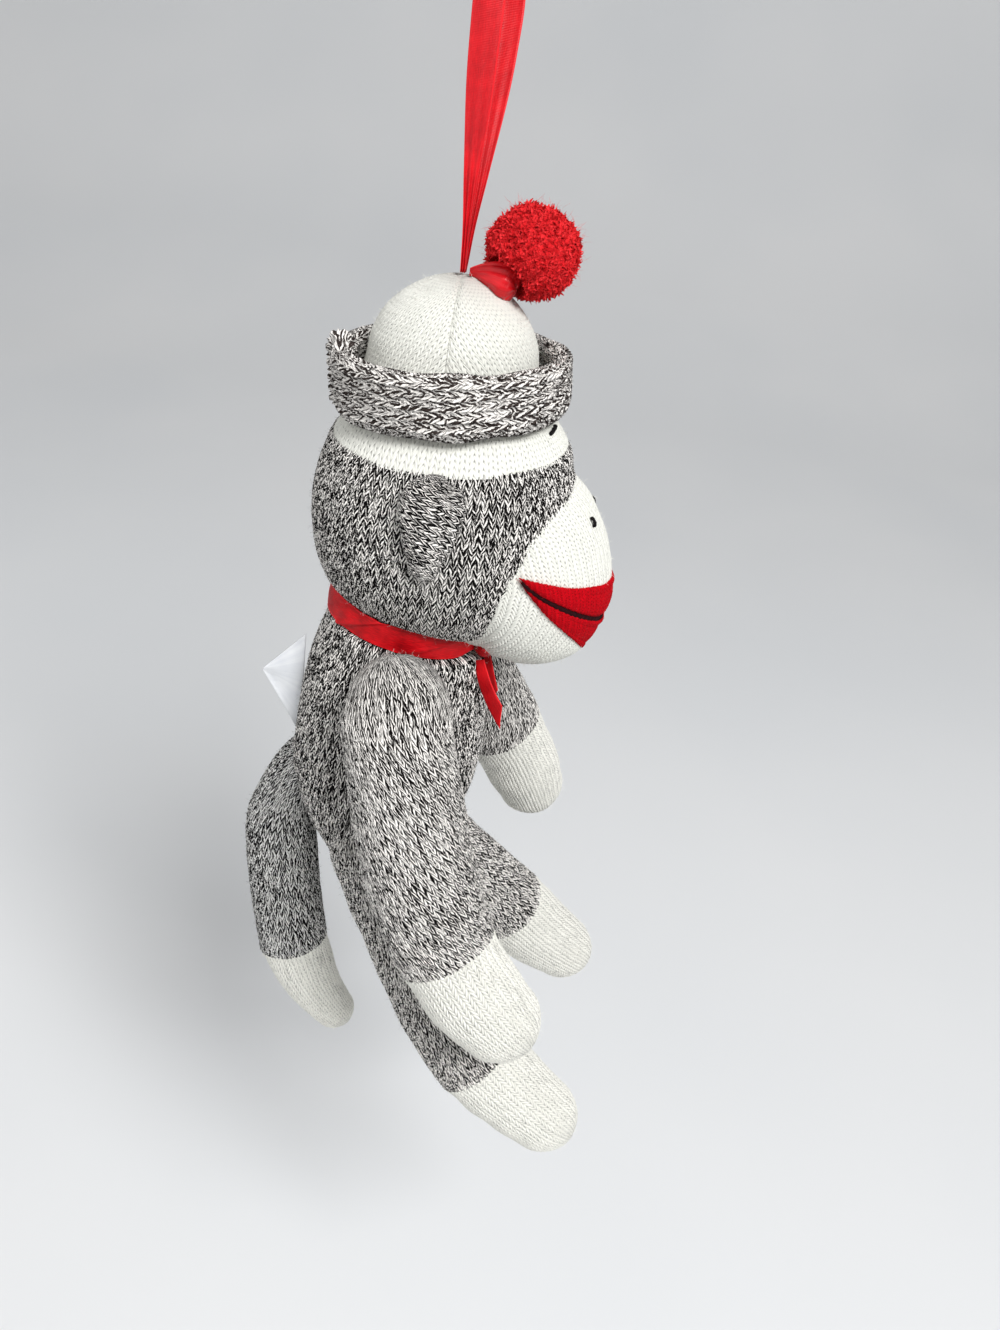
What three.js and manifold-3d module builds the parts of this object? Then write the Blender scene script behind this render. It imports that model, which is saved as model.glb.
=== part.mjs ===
// Knitted sock monkey doll that hangs by a satin ribbon loop sewn to the top of its hat.
// Millimetres, +Z up, the doll faces -Y and its right side is -X.
// The origin is the underside of the ribbon loop's top bend, where a hook carries the doll.
// Every piece below the hat's tip is placed in the doll's own group, whose origin is that tip.

import * as THREE from "three";
import { mergeVertices } from "three/addons/utils/BufferGeometryUtils.js";
import Module from "manifold-3d";

const wasm = await Module();
wasm.setup();

// Clearances
const SEAM_GAP = 0.3; // between two pieces that are sewn together
const OVERRUN = 60; // how far a cutting block runs past what it cuts

// Ribbon
const RIBBON_WIDTH = 7.5;
const RIBBON_THICKNESS = 0.8;
const LOOP_HEIGHT = 78; // hat tip to the underside of the loop's top bend

// Head, an egg just ahead of the plumb line through the hat's tip
const HEAD_WIDTH = 69;
const HEAD_DEPTH = 76.2;
const HEAD_HEIGHT = 84.2;
const HEAD_FORWARD = 2.75; // its centre ahead of the plumb line
const HEAD_DROP = 64.1; // hat tip down to the head's centre

// White top of the head: the colour changes at a slightly tilted course of the knit
const CAP_EDGE_DROP = 41.6;
const CAP_TILT_BACK_DEG = 3;
const CAP_TILT_SIDE_DEG = 6.5;

// Hat
const CROWN_RADIUS = 23.4; // of the visible dome
const CROWN_RIM_RADIUS = 27.6;
const CROWN_RIM_DROP = 34.5;
const CUFF_OUTER_RADIUS = 32.3;
const CUFF_THICKNESS = 5.6;
const CUFF_HEIGHT = 16.5;
const CUFF_DROP = 25.7; // hat tip down to the middle of the rolled cuff
const CUFF_TILT_BACK_DEG = 6.3;
const CUFF_TILT_SIDE_DEG = 4.5;

// Pompom on its gathered neck
const POMPOM_RADIUS = 12.2;
const POMPOM_FORWARD = 17.2; // its centre ahead of the hat's tip
const POMPOM_RISE = 8; // and above it
const POMPOM_NECK_HALF_WIDTH = 4.6;
const POMPOM_NECK_HALF_THICKNESS = 2.8;
const POMPOM_NECK_TIP_RADIUS = 1.2;
const POMPOM_NECK_START = 2.9; // from the plumb line to the neck's sewn tip
const POMPOM_NECK_END = 15.5; // and to its wide end under the pompom
const POMPOM_NECK_FALL = 4; // how far the wide end lies below the hat's tip
const POMPOM_NECK_ASIDE = 3.5; // and how far it lies to the doll's right

// Muzzle, an egg sewn to the front of the head, slanted so that its top lies further back
const MUZZLE_WIDTH = 58;
const MUZZLE_DEPTH = 67.8;
const MUZZLE_HEIGHT = 77;
const MUZZLE_FORWARD = 15.9;
const MUZZLE_DROP = 67.3;
const MUZZLE_SLANT_DEG = 20;

// Mouth: three lines that run round the muzzle between the same two corners
const LIP_PUFF = 1.4; // how far the upper lip stands proud of the muzzle
const LOWER_LIP_PUFF = 1;
const LIP_EDGE = 0.5; // thickness along a lip's sewn edge
const MOUTH_CORNER_DEG = 75; // each way from the front
const MOUTH_CORNER_DROP = 70.3;
const LIP_TOP_SAG = 4.6;
const SMILE_SAG = 17.6;
const LIP_BOTTOM_SAG = 29;
const SMILE_GROOVE = 1.8;
const THREAD_RADIUS = 0.5;
const SMILE_BEND = 0.7; // below 1 the line drops sooner from its corners
const LIP_TOP_BEND = 0.9;
const LIP_BOTTOM_BEND = 0.62;
const SMILE_REACH = 0.9; // share of the way to the corners that the thread covers

// Embroidered eyes and nostrils
const EYE_LENGTH = 5;
const EYE_RADIUS = 0.7;
const EYE_DROP = 35;
const EYE_AZIMUTH_DEG = 18.5;
const EYE_LEAN_DEG = -75;
const NOSTRIL_LENGTH = 2.6;
const NOSTRIL_RADIUS = 0.6;
const NOSTRIL_DROP = 58.2;
const NOSTRIL_AZIMUTH_DEG = 20.5;
const NOSTRIL_LEAN_DEG = 5;

// Ears: stuffed lobes sewn flat to the sides of the head, wide at the top
const EAR_HALF_DEPTH = 8.8;
const EAR_PROUD = 6.8;
const EAR_TOP_DROP = 52.5;
const EAR_BOTTOM_DROP = 68.5;
const EAR_BACK = 1.4; // behind the head's centre
const EAR_AZIMUTH_DEG = 90; // each way from the front

// Neck: a sloping plane where the collar ties the body off
const NECK_DROP = 91.5;
const NECK_BACK = 4.5; // neck axis behind the plumb line
const NECK_SLOPE_DEG = 9.5;
const NECK_RADIUS = 23;

// Collar knot and its two loose ends
const KNOT_WIDTH = 9;
const KNOT_HEIGHT = 7.2;
const KNOT_DEPTH = 6;
const KNOT_AZIMUTH_DEG = 22; // from the front, towards the right side
const CHIN_CLEARANCE = 2.6; // the knot passes under the chin when the neck turns
const CHIN_CLEAR_RADIUS = NECK_RADIUS + RIBBON_THICKNESS + 2 * SEAM_GAP + KNOT_DEPTH + CHIN_CLEARANCE;
const RIBBON_END_LENGTH = 21.5;
const RIBBON_END_WIDTH = 5.2;
const RIBBON_END_RISE_DEG = 46; // how far the long end stands out from the chest
const RIBBON_END_SPREAD_DEG = 12;

// Torso
const TORSO_LENGTH = 95;
const TORSO_DEPTH = 57;
const TORSO_WIDTH = 55;

// Label in the back seam, bare
const LABEL_THICKNESS = 0.6;
const LABEL_REACH = 12.6;
const LABEL_TOP_DROP = 109;
const LABEL_CORNER_DROP = 123.5;
const LABEL_BOTTOM_DROP = 144;

// Arms
const ARM_LENGTH = 97; // shoulder centre to paw centre
const ARM_RADIUS = 15.8;
const PAW_LENGTH = 27; // white part, measured along the same line
const LEFT_PAW_LENGTH = 36;
const SHOULDER_DROP = 112.5;
const SHOULDER_BACK = 1.5;
const SHOULDER_OUT_SHARE = 0.86; // how far out of the flank the shoulder's centre lies, in arm radii

// Legs
const LEG_LENGTH = 113; // hip centre to the centre of the foot's round end
const LEG_RADIUS = 14.8;
const FOOT_LENGTH = 31;
const LEFT_FOOT_LENGTH = 37;
const HIP_DROP = 172;
const HIP_BACK = 5;
const HIP_WALL = 4.4; // cloth between the two hips
const HIP_SWING_BACK_DEG = 20;
const HIP_SWING_FORWARD_DEG = 45;

// Tail
const TAIL_LENGTH = 105;
const TAIL_RADIUS = 11.9;
const TAIL_TIP_LENGTH = 33;
const TAIL_DROP = 155;
const TAIL_BACK = 31.5;

// Fineness of the soft forms
const ROUND_SIDES = 18;
const CAP_STEPS = 4;
const BODY_STEPS = 9;

// Finishes
const finishes = {
  marl: { color: 0xa39b96, roughness: 0.95, metalness: 0 },
  headMarl: { color: 0x8b8683, roughness: 0.95, metalness: 0 },
  cream: { color: 0xefede3, roughness: 0.95, metalness: 0 },
  red: { color: 0xc4242f, roughness: 0.9, metalness: 0 },
  satin: { color: 0xc8202f, roughness: 0.35, metalness: 0 },
  yarn: { color: 0xc52e33, roughness: 1, metalness: 0 },
  thread: { color: 0x1b1a1a, roughness: 0.7, metalness: 0 },
  label: { color: 0xe6e8e6, roughness: 0.5, metalness: 0 },
};

const degrees = THREE.MathUtils.degToRad;
const X = new THREE.Vector3(1, 0, 0);
const Y = new THREE.Vector3(0, 1, 0);
const Z = new THREE.Vector3(0, 0, 1);

// Solids

// A closed geometry as a solid that can be cut and joined.
function solidOf(geometry) {
  const bare = geometry.clone();
  bare.deleteAttribute("normal");
  bare.deleteAttribute("uv");
  const merged = mergeVertices(bare, 1e-4);
  const corners = merged.index.array;
  const kept = [];
  for (let i = 0; i < corners.length; i += 3) {
    const [a, b, c] = [corners[i], corners[i + 1], corners[i + 2]];
    if (a !== b && b !== c && c !== a) kept.push(a, b, c);
  }
  const mesh = new wasm.Mesh({
    numProp: 3,
    vertProperties: merged.attributes.position.array,
    triVerts: new Uint32Array(kept),
  });
  return new wasm.Manifold(mesh);
}

// The solid's surface as a geometry for a mesh.
function geometryOf(solid) {
  const { numProp, vertProperties, triVerts } = solid.getMesh();
  const points = new Float32Array((vertProperties.length / numProp) * 3);
  for (let i = 0; i < points.length / 3; i += 1) {
    for (let k = 0; k < 3; k += 1) points[3 * i + k] = vertProperties[numProp * i + k];
  }
  const geometry = new THREE.BufferGeometry();
  geometry.setAttribute("position", new THREE.BufferAttribute(points, 3));
  geometry.setIndex(new THREE.BufferAttribute(new Uint32Array(triVerts), 1));
  geometry.computeVertexNormals();
  return geometry;
}

function cut(solid, ...tools) {
  return tools.reduce((left, tool) => left.subtract(tool), solid);
}

function mesh(name, solid, finish) {
  const made = new THREE.Mesh(geometryOf(solid), new THREE.MeshStandardMaterial(finishes[finish]));
  made.name = name;
  return made;
}

// An egg with its three full sizes, grown all round by a clearance and slanted back by an angle.
function egg({ width, depth, height, centre, slantDeg }, grow = 0) {
  const ball = new THREE.SphereGeometry(1, 28, 20);
  ball.rotateX(Math.PI / 2);
  ball.scale(width / 2 + grow, depth / 2 + grow, height / 2 + grow);
  const places = ball.attributes.position;
  for (let i = 0; i < places.count; i += 1) {
    places.setY(i, places.getY(i) + places.getZ(i) * Math.tan(degrees(slantDeg)));
  }
  ball.translate(centre.x, centre.y, centre.z);
  return solidOf(ball);
}

// A block that fills everything below a plane through a point with the given normal.
function below(point, normal) {
  const block = new THREE.BoxGeometry(4 * OVERRUN, 4 * OVERRUN, 2 * OVERRUN);
  block.translate(0, 0, -OVERRUN);
  block.applyQuaternion(new THREE.Quaternion().setFromUnitVectors(Z, normal));
  block.translate(point.x, point.y, point.z);
  return solidOf(block);
}

// A plane's upward normal, tilted so that the back and the right side lie lower.
function tiltedUp(backDeg, rightDeg) {
  const normal = Z.clone();
  normal.applyAxisAngle(X, -degrees(backDeg));
  normal.applyAxisAngle(Y, -degrees(rightDeg));
  return normal;
}

// Smooth curve through [share, value] pairs, read at any share between 0 and 1.
function along(pairs) {
  const curve = new THREE.CatmullRomCurve3(
    pairs.map(([share, value]) => new THREE.Vector3(share, value, 0)),
    false,
    "centripetal",
  );
  const table = curve.getPoints(12 * pairs.length);
  return (share) => {
    const at = THREE.MathUtils.clamp(share, 0, 1);
    const found = table.findIndex((point) => point.x >= at);
    const next = found < 0 ? table.length - 1 : Math.max(1, found);
    const [a, b] = [table[next - 1], table[next]];
    return THREE.MathUtils.lerp(a.y, b.y, (at - a.x) / (b.x - a.x));
  };
}

// A limb's centre line: it starts at a point and follows a heading, in degrees forward of plumb,
// while it drifts sideways at a constant splay.
function limbLine(start, length, headings, splayDeg) {
  const heading = along(headings);
  const steps = 24;
  const points = [start.clone()];
  for (let i = 0; i < steps; i += 1) {
    const forward = degrees(heading((i + 0.5) / steps));
    const side = degrees(splayDeg);
    const step = new THREE.Vector3(
      Math.sin(side),
      -Math.cos(side) * Math.sin(forward),
      -Math.cos(side) * Math.cos(forward),
    );
    points.push(points[i].clone().addScaledVector(step, length / steps));
  }
  return new THREE.CatmullRomCurve3(points, false, "centripetal");
}

// A stuffed tube: a revolved profile bent along a line, with a round or a flat end each side.
// width and depth give its half sizes at a share of the line's length.
function stuffed(line, width, depth, options = {}) {
  const { from = 0, to = 1, roundStart = true, roundEnd = true } = options;
  const { sides = ROUND_SIDES, steps = BODY_STEPS, side = X, dome = 1 } = options;
  const profile = [];
  const station = (share, scale, past) => profile.push({ share, scale, past });
  if (roundStart) {
    for (let i = 0; i < CAP_STEPS; i += 1) {
      const angle = ((i / CAP_STEPS) * Math.PI) / 2;
      station(from, Math.sin(angle), -dome * Math.cos(angle));
    }
  } else station(from, 0, 0);
  for (let i = 0; i <= steps; i += 1) station(THREE.MathUtils.lerp(from, to, i / steps), 1, 0);
  if (roundEnd) {
    for (let i = CAP_STEPS - 1; i >= 0; i -= 1) {
      const angle = ((i / CAP_STEPS) * Math.PI) / 2;
      station(to, Math.sin(angle), dome * Math.cos(angle));
    }
  } else station(to, 0, 0);

  const lathe = new THREE.LatheGeometry(
    profile.map(({ scale }, i) => new THREE.Vector2(scale, i)),
    sides,
  );
  const places = lathe.attributes.position;
  for (let i = 0; i < places.count; i += 1) {
    const { share, past } = profile[Math.round(places.getY(i))];
    const centre = line.getPointAt(share);
    const ahead = line.getTangentAt(share);
    const across = side.clone().addScaledVector(ahead, -side.dot(ahead)).normalize();
    const out = new THREE.Vector3().crossVectors(ahead, across);
    const reach = (width(share) + depth(share)) / 2;
    centre.addScaledVector(across, places.getX(i) * width(share));
    centre.addScaledVector(out, -places.getZ(i) * depth(share));
    centre.addScaledVector(ahead, past * reach);
    places.setXYZ(i, centre.x, centre.y, centre.z);
  }
  const solid = solidOf(lathe);
  return solid;
}

// Hat, head and face

const headShape = {
  width: HEAD_WIDTH,
  depth: HEAD_DEPTH,
  height: HEAD_HEIGHT,
  centre: new THREE.Vector3(0, -HEAD_FORWARD, -HEAD_DROP),
  slantDeg: 0,
};
const muzzleShape = {
  width: MUZZLE_WIDTH,
  depth: MUZZLE_DEPTH,
  height: MUZZLE_HEIGHT,
  centre: new THREE.Vector3(0, -MUZZLE_FORWARD, -MUZZLE_DROP),
  slantDeg: MUZZLE_SLANT_DEG,
};
const neckCentre = new THREE.Vector3(0, NECK_BACK, -NECK_DROP);
const neckUp = tiltedUp(-NECK_SLOPE_DEG, 0);
const capCentre = new THREE.Vector3(0, 0, -CAP_EDGE_DROP);
const capUp = tiltedUp(CAP_TILT_BACK_DEG, CAP_TILT_SIDE_DEG);

const headEgg = (grow = 0) => egg(headShape, grow);
const muzzleEgg = (grow = 0) => egg(muzzleShape, grow);

// A point on an egg's surface at a drop and an azimuth from the front, towards the right side.
function onEgg({ width, depth, height, centre, slantDeg }, drop, azimuthDeg) {
  const rise = (-drop - centre.z) / (height / 2);
  const ring = Math.sqrt(1 - rise * rise);
  const angle = degrees(azimuthDeg);
  const slant = Math.tan(degrees(slantDeg));
  const away = new THREE.Vector3(-ring * Math.sin(angle), -ring * Math.cos(angle), rise);
  const point = away.clone().multiply(new THREE.Vector3(width / 2, depth / 2, height / 2));
  point.y += point.z * slant;
  point.add(centre);
  const normal = away.divide(new THREE.Vector3(width, depth, height));
  normal.z -= slant * normal.y;
  return { point, normal: normal.normalize() };
}

const CROWN_RING_SHARES = [
  [0, 0],
  [0.3, 0.05],
  [0.58, 0.19],
  [0.8, 0.4],
  [0.95, 0.7],
  [1, 1],
];

function crownOuter(grow = 0) {
  const outline = CROWN_RING_SHARES.map(
    ([radiusShare, dropShare]) =>
      new THREE.Vector2(
        radiusShare > 0 ? radiusShare * CROWN_RADIUS + grow : 0,
        grow - dropShare * CROWN_RADIUS,
      ),
  );
  outline.push(new THREE.Vector2(CROWN_RIM_RADIUS + grow, -CROWN_RIM_DROP - grow));
  outline.push(new THREE.Vector2(0, -CROWN_RIM_DROP - grow));
  const dome = new THREE.LatheGeometry(outline.reverse(), 32);
  dome.rotateX(Math.PI / 2);
  return solidOf(dome);
}

function hatCrown() {
  return cut(crownOuter(), headEgg(SEAM_GAP));
}

function hatCuff() {
  const middle = CUFF_OUTER_RADIUS - CUFF_THICKNESS / 2;
  const roll = new THREE.Path();
  const halfFlat = CUFF_HEIGHT / 2 - CUFF_THICKNESS / 2;
  roll.absarc(middle, halfFlat, CUFF_THICKNESS / 2, 0, Math.PI, false);
  roll.absarc(middle, -halfFlat, CUFF_THICKNESS / 2, Math.PI, 2 * Math.PI, false);
  roll.closePath();
  const ring = new THREE.LatheGeometry(roll.getPoints(5), 36);
  ring.rotateX(Math.PI / 2);
  ring.applyQuaternion(
    new THREE.Quaternion().setFromUnitVectors(Z, tiltedUp(CUFF_TILT_BACK_DEG, CUFF_TILT_SIDE_DEG)),
  );
  ring.translate(0, 0, -CUFF_DROP);
  return cut(solidOf(ring), crownOuter(SEAM_GAP), headEgg(SEAM_GAP));
}

function headCap() {
  const seam = capCentre.clone().addScaledVector(capUp, SEAM_GAP / 2);
  return cut(headEgg(), below(seam, capUp));
}

function head() {
  const seam = capCentre.clone().addScaledVector(capUp, -SEAM_GAP / 2);
  return cut(headEgg().intersect(below(seam, capUp)), below(neckCentre, neckUp));
}

// Room under the chin for the collar, its knot and the neck, round the neck's own axis.
function chinRoom() {
  const room = new THREE.CylinderGeometry(CHIN_CLEAR_RADIUS, CHIN_CLEAR_RADIUS, OVERRUN, 40);
  room.rotateX(Math.PI / 2);
  room.translate(0, 0, -OVERRUN / 2);
  room.applyQuaternion(new THREE.Quaternion().setFromUnitVectors(Z, neckUp));
  room.translate(neckCentre.x, neckCentre.y, neckCentre.z);
  return solidOf(room);
}

function muzzle() {
  return cut(muzzleEgg(), headEgg(SEAM_GAP), chinRoom());
}

// The drop of a mouth line at a share of the way from the front to a corner.
function mouthDrop(sag, bend, share) {
  const fall = Math.max(Math.cos((share * Math.PI) / 2), 0) ** bend;
  return MOUTH_CORNER_DROP + sag * fall;
}

// A point over the muzzle at a drop and an azimuth, lifted off its surface.
function overMuzzle(drop, azimuthDeg, lift) {
  const { point, normal } = onEgg(muzzleShape, drop, azimuthDeg);
  return point.addScaledVector(normal, lift);
}

// A lip: a strip between two mouth lines, bent round the muzzle and puffed in its middle.
function lip(upper, lower, puff, marginTop, marginBottom) {
  const strip = new THREE.BoxGeometry(2, 1, 1, 30, 4, 1);
  const places = strip.attributes.position;
  for (let i = 0; i < places.count; i += 1) {
    const share = places.getX(i);
    const down = 0.5 - places.getY(i);
    const top = mouthDrop(...upper, Math.abs(share)) + marginTop;
    const bottom = Math.max(mouthDrop(...lower, Math.abs(share)) - marginBottom, top + LIP_EDGE / 2);
    const swell = Math.sqrt(Math.sin(down * Math.PI) * Math.cos((share * Math.PI) / 2));
    const outer = LIP_EDGE + (puff - LIP_EDGE) * (swell || 0);
    const lift = SEAM_GAP + (places.getZ(i) > 0 ? outer : 0);
    const point = overMuzzle(
      THREE.MathUtils.lerp(top, bottom, down), -share * MOUTH_CORNER_DEG, lift,
    );
    places.setXYZ(i, point.x, point.y, point.z);
  }
  return cut(solidOf(strip), headEgg(SEAM_GAP), chinRoom());
}

const smileLine = [SMILE_SAG, SMILE_BEND];
const upperLip = () => lip([LIP_TOP_SAG, LIP_TOP_BEND], smileLine, LIP_PUFF, 0, SMILE_GROOVE / 2);
const lowerLip = () =>
  lip(smileLine, [LIP_BOTTOM_SAG, LIP_BOTTOM_BEND], LOWER_LIP_PUFF, SMILE_GROOVE / 2, 0);

// The smile is one black thread laid in the groove between the lips.
function smileThread() {
  const points = [];
  for (let i = 0; i <= 24; i += 1) {
    const share = SMILE_REACH * (i / 12 - 1);
    const drop = mouthDrop(...smileLine, Math.abs(share));
    points.push(overMuzzle(drop, -share * MOUTH_CORNER_DEG, SEAM_GAP + THREAD_RADIUS));
  }
  const section = new THREE.Shape().absarc(0, 0, THREAD_RADIUS, 0, 2 * Math.PI);
  const thread = new THREE.ExtrudeGeometry(section, {
    steps: 32,
    curveSegments: 6,
    extrudePath: new THREE.CatmullRomCurve3(points),
  });
  return solidOf(thread);
}

// A short embroidered stitch that lies on an egg.
function stitch(length, radius, { point, normal }, leanDeg) {
  const bar = new THREE.CapsuleGeometry(radius, length - 2 * radius, 3, 8);
  const lengthwise = Z.clone().addScaledVector(normal, -normal.z).normalize();
  lengthwise.applyAxisAngle(normal, degrees(leanDeg));
  bar.applyQuaternion(new THREE.Quaternion().setFromUnitVectors(Y, lengthwise));
  const seat = point.clone().addScaledVector(normal, radius + SEAM_GAP);
  bar.translate(seat.x, seat.y, seat.z);
  return solidOf(bar);
}

function eye(side) {
  const place = onEgg(headShape, EYE_DROP, -side * EYE_AZIMUTH_DEG);
  const sewn = stitch(EYE_LENGTH, EYE_RADIUS, place, -side * EYE_LEAN_DEG);
  return cut(sewn, muzzleEgg(SEAM_GAP), crownOuter(SEAM_GAP));
}

function nostril(side) {
  const place = onEgg(muzzleShape, NOSTRIL_DROP, -side * NOSTRIL_AZIMUTH_DEG);
  const sewn = stitch(NOSTRIL_LENGTH, NOSTRIL_RADIUS, place, side * NOSTRIL_LEAN_DEG);
  return cut(sewn, headEgg(SEAM_GAP));
}

function ear(side) {
  const drops = [EAR_TOP_DROP, (EAR_TOP_DROP + EAR_BOTTOM_DROP) / 2, EAR_BOTTOM_DROP];
  const points = drops.map((drop) => {
    const { point } = onEgg(headShape, drop, -side * EAR_AZIMUTH_DEG);
    return new THREE.Vector3(point.x, point.y + EAR_BACK, point.z);
  });
  const taper = along([[0, 1], [0.5, 0.84], [1, 0.56]]);
  const proud = (share) => EAR_PROUD * taper(share);
  const depth = (share) => EAR_HALF_DEPTH * taper(share);
  const lobe = stuffed(new THREE.CatmullRomCurve3(points), proud, depth, {
    sides: 16, steps: 4, dome: 0.88,
  });
  return cut(lobe, headEgg(SEAM_GAP));
}

// Pompom

const pompomCentre = new THREE.Vector3(0, -POMPOM_FORWARD, POMPOM_RISE);

function pompomBall(grow = 0) {
  const ball = new THREE.SphereGeometry(POMPOM_RADIUS + grow, 22, 16);
  ball.rotateX(Math.PI / 2);
  ball.translate(pompomCentre.x, pompomCentre.y, pompomCentre.z);
  return solidOf(ball);
}

function pompomNeck() {
  const start = new THREE.Vector3(0, -POMPOM_NECK_START, POMPOM_NECK_TIP_RADIUS);
  const end = new THREE.Vector3(-POMPOM_NECK_ASIDE, -POMPOM_NECK_END, -POMPOM_NECK_FALL);
  const middle = start.clone().lerp(end, 1 / 2).addScaledVector(Z, POMPOM_NECK_TIP_RADIUS);
  const line = new THREE.CatmullRomCurve3([start, middle, end]);
  const grow = (size) => (share) => THREE.MathUtils.lerp(POMPOM_NECK_TIP_RADIUS, size, Math.sqrt(share));
  const cone = stuffed(line, grow(POMPOM_NECK_HALF_WIDTH), grow(POMPOM_NECK_HALF_THICKNESS), {
    roundEnd: false, steps: 6, sides: 14,
  });
  return cut(cone, crownOuter(SEAM_GAP), pompomBall(SEAM_GAP));
}

// Hanging loop

// Route of the ribbon from its sewn foot up one strand, over the top and down the other,
// measured from the hat's tip in shares of the loop's height.
const LOOP_ROUTE_SHARES = [
  [-0.01, 0.001, 0.009],
  [-0.012, 0.002, 0.05],
  [-0.018, 0.004, 0.15],
  [-0.03, 0.007, 0.31],
  [-0.043, 0.007, 0.49],
  [-0.056, 0.008, 0.67],
  [-0.064, 0.007, 0.82],
  [-0.063, 0.006, 0.91],
  [-0.04, 0.003, 0.977],
  [0, 0, 1],
  [0.04, -0.014, 0.977],
  [0.063, -0.033, 0.91],
  [0.064, -0.044, 0.82],
  [0.056, -0.042, 0.67],
  [0.043, -0.032, 0.49],
  [0.03, -0.021, 0.31],
  [0.018, -0.01, 0.15],
  [0.012, -0.004, 0.05],
  [0.01, -0.001, 0.009],
];

// How wide the gathered ribbon spreads along its route, in shares of its flat width
const LOOP_SPREAD_SHARES = [
  [0, 0.18],
  [0.06, 0.24],
  [0.15, 0.5],
  [0.27, 0.9],
  [0.36, 1],
  [0.64, 1],
  [0.73, 0.9],
  [0.85, 0.5],
  [0.94, 0.24],
  [1, 0.18],
];

function hangingLoop() {
  const height = LOOP_HEIGHT + RIBBON_THICKNESS / 2;
  const line = new THREE.CatmullRomCurve3(
    LOOP_ROUTE_SHARES.map((shares) => new THREE.Vector3(...shares).multiplyScalar(height)),
  );
  const spread = along(LOOP_SPREAD_SHARES);
  const width = (share) => (RIBBON_WIDTH / 2) * spread(share);
  const thickness = () => RIBBON_THICKNESS / 2;
  return stuffed(line, width, thickness, {
    sides: 8, steps: 36, side: Y, roundStart: false, roundEnd: false,
  });
}

// Torso, collar and label

const TORSO_SHARES = [
  // share of length, half depth, half width, centre behind the plumb line as a share of depth
  [0, 0.78, 0.9, 0.075],
  [0.17, 0.92, 0.99, 0.096],
  [0.44, 1, 1, 0.123],
  [0.64, 0.965, 0.99, 0.132],
  [0.81, 0.76, 0.88, 0.14],
  [0.9, 0.56, 0.7, 0.149],
  [1, 0.26, 0.4, 0.16],
];

function torsoColumn(grow = 0) {
  const points = TORSO_SHARES.map(
    ([share, , , back]) =>
      new THREE.Vector3(0, back * TORSO_DEPTH, -NECK_DROP - share * TORSO_LENGTH),
  );
  const line = new THREE.CatmullRomCurve3(points);
  const deep = along(TORSO_SHARES.map(([share, depth]) => [share, depth]));
  const wide = along(TORSO_SHARES.map(([share, , width]) => [share, width]));
  const depth = (share) => (TORSO_DEPTH / 2) * deep(share) + grow;
  const width = (share) => (TORSO_WIDTH / 2) * wide(share) + grow;
  return stuffed(line, width, depth, { sides: 28, steps: 14, roundStart: true, dome: 0.45 });
}

// The space one leg needs under the torso over its whole swing: a round socket and a fan below it.
function hipRoom(side) {
  const centre = hip(side);
  const radius = LEG_RADIUS + SEAM_GAP;
  const socket = new THREE.SphereGeometry(radius, 28, 20);
  socket.translate(centre.x, centre.y, centre.z);
  const back = degrees(LEG_HEADINGS_RIGHT_DEG[0][1] - HIP_SWING_BACK_DEG);
  const forward = degrees(LEG_HEADINGS_LEFT_DEG[0][1] + HIP_SWING_FORWARD_DEG);
  const fan = new THREE.Shape();
  fan.moveTo(radius * Math.cos(back), radius * Math.sin(back));
  fan.lineTo(
    radius * Math.cos(back) - OVERRUN * Math.sin(back),
    radius * Math.sin(back) - OVERRUN * Math.cos(back),
  );
  fan.lineTo(
    -radius * Math.cos(forward) - OVERRUN * Math.sin(forward),
    radius * Math.sin(forward) - OVERRUN * Math.cos(forward),
  );
  fan.lineTo(-radius * Math.cos(forward), radius * Math.sin(forward));
  fan.closePath();
  const wedge = new THREE.ExtrudeGeometry(fan, { depth: 2 * radius, bevelEnabled: false });
  wedge.translate(0, 0, -radius);
  wedge.applyMatrix4(new THREE.Matrix4().makeBasis(Y, Z, X));
  wedge.translate(centre.x, centre.y, centre.z);
  return solidOf(socket).add(solidOf(wedge));
}

// The round socket that the tail's root turns in.
function tailSocket(grow = 0) {
  const socket = new THREE.SphereGeometry(TAIL_RADIUS * TAIL_SHARES[0][1] + grow, 24, 16);
  socket.translate(tailRoot.x, tailRoot.y, tailRoot.z);
  return solidOf(socket);
}

function torso() {
  const seam = neckCentre.clone().addScaledVector(neckUp, -SEAM_GAP);
  const column = torsoColumn().intersect(below(seam, neckUp));
  return cut(column, collarBand(SEAM_GAP), hipRoom(-1), hipRoom(1), tailSocket(SEAM_GAP));
}

// The collar lies round the neck just under the head, square to the neck's axis.
function collarBand(grow = 0) {
  const inner = NECK_RADIUS - (grow > 0 ? grow : 0);
  const outer = grow > 0 ? NECK_RADIUS + OVERRUN : NECK_RADIUS + RIBBON_THICKNESS;
  const top = grow > 0 ? OVERRUN : -SEAM_GAP;
  const bottom = -SEAM_GAP - RIBBON_WIDTH - grow;
  const section = [
    new THREE.Vector2(inner, bottom),
    new THREE.Vector2(outer, bottom),
    new THREE.Vector2(outer, top),
    new THREE.Vector2(inner, top),
    new THREE.Vector2(inner, bottom),
  ];
  const band = new THREE.LatheGeometry(section, 36);
  band.rotateX(Math.PI / 2);
  return atNeck(solidOf(band));
}

// Moves a solid made round +Z at the origin to the neck.
function atNeck(solid) {
  const geometry = geometryOf(solid);
  geometry.applyQuaternion(new THREE.Quaternion().setFromUnitVectors(Z, neckUp));
  geometry.translate(neckCentre.x, neckCentre.y, neckCentre.z);
  return solidOf(geometry);
}

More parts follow.
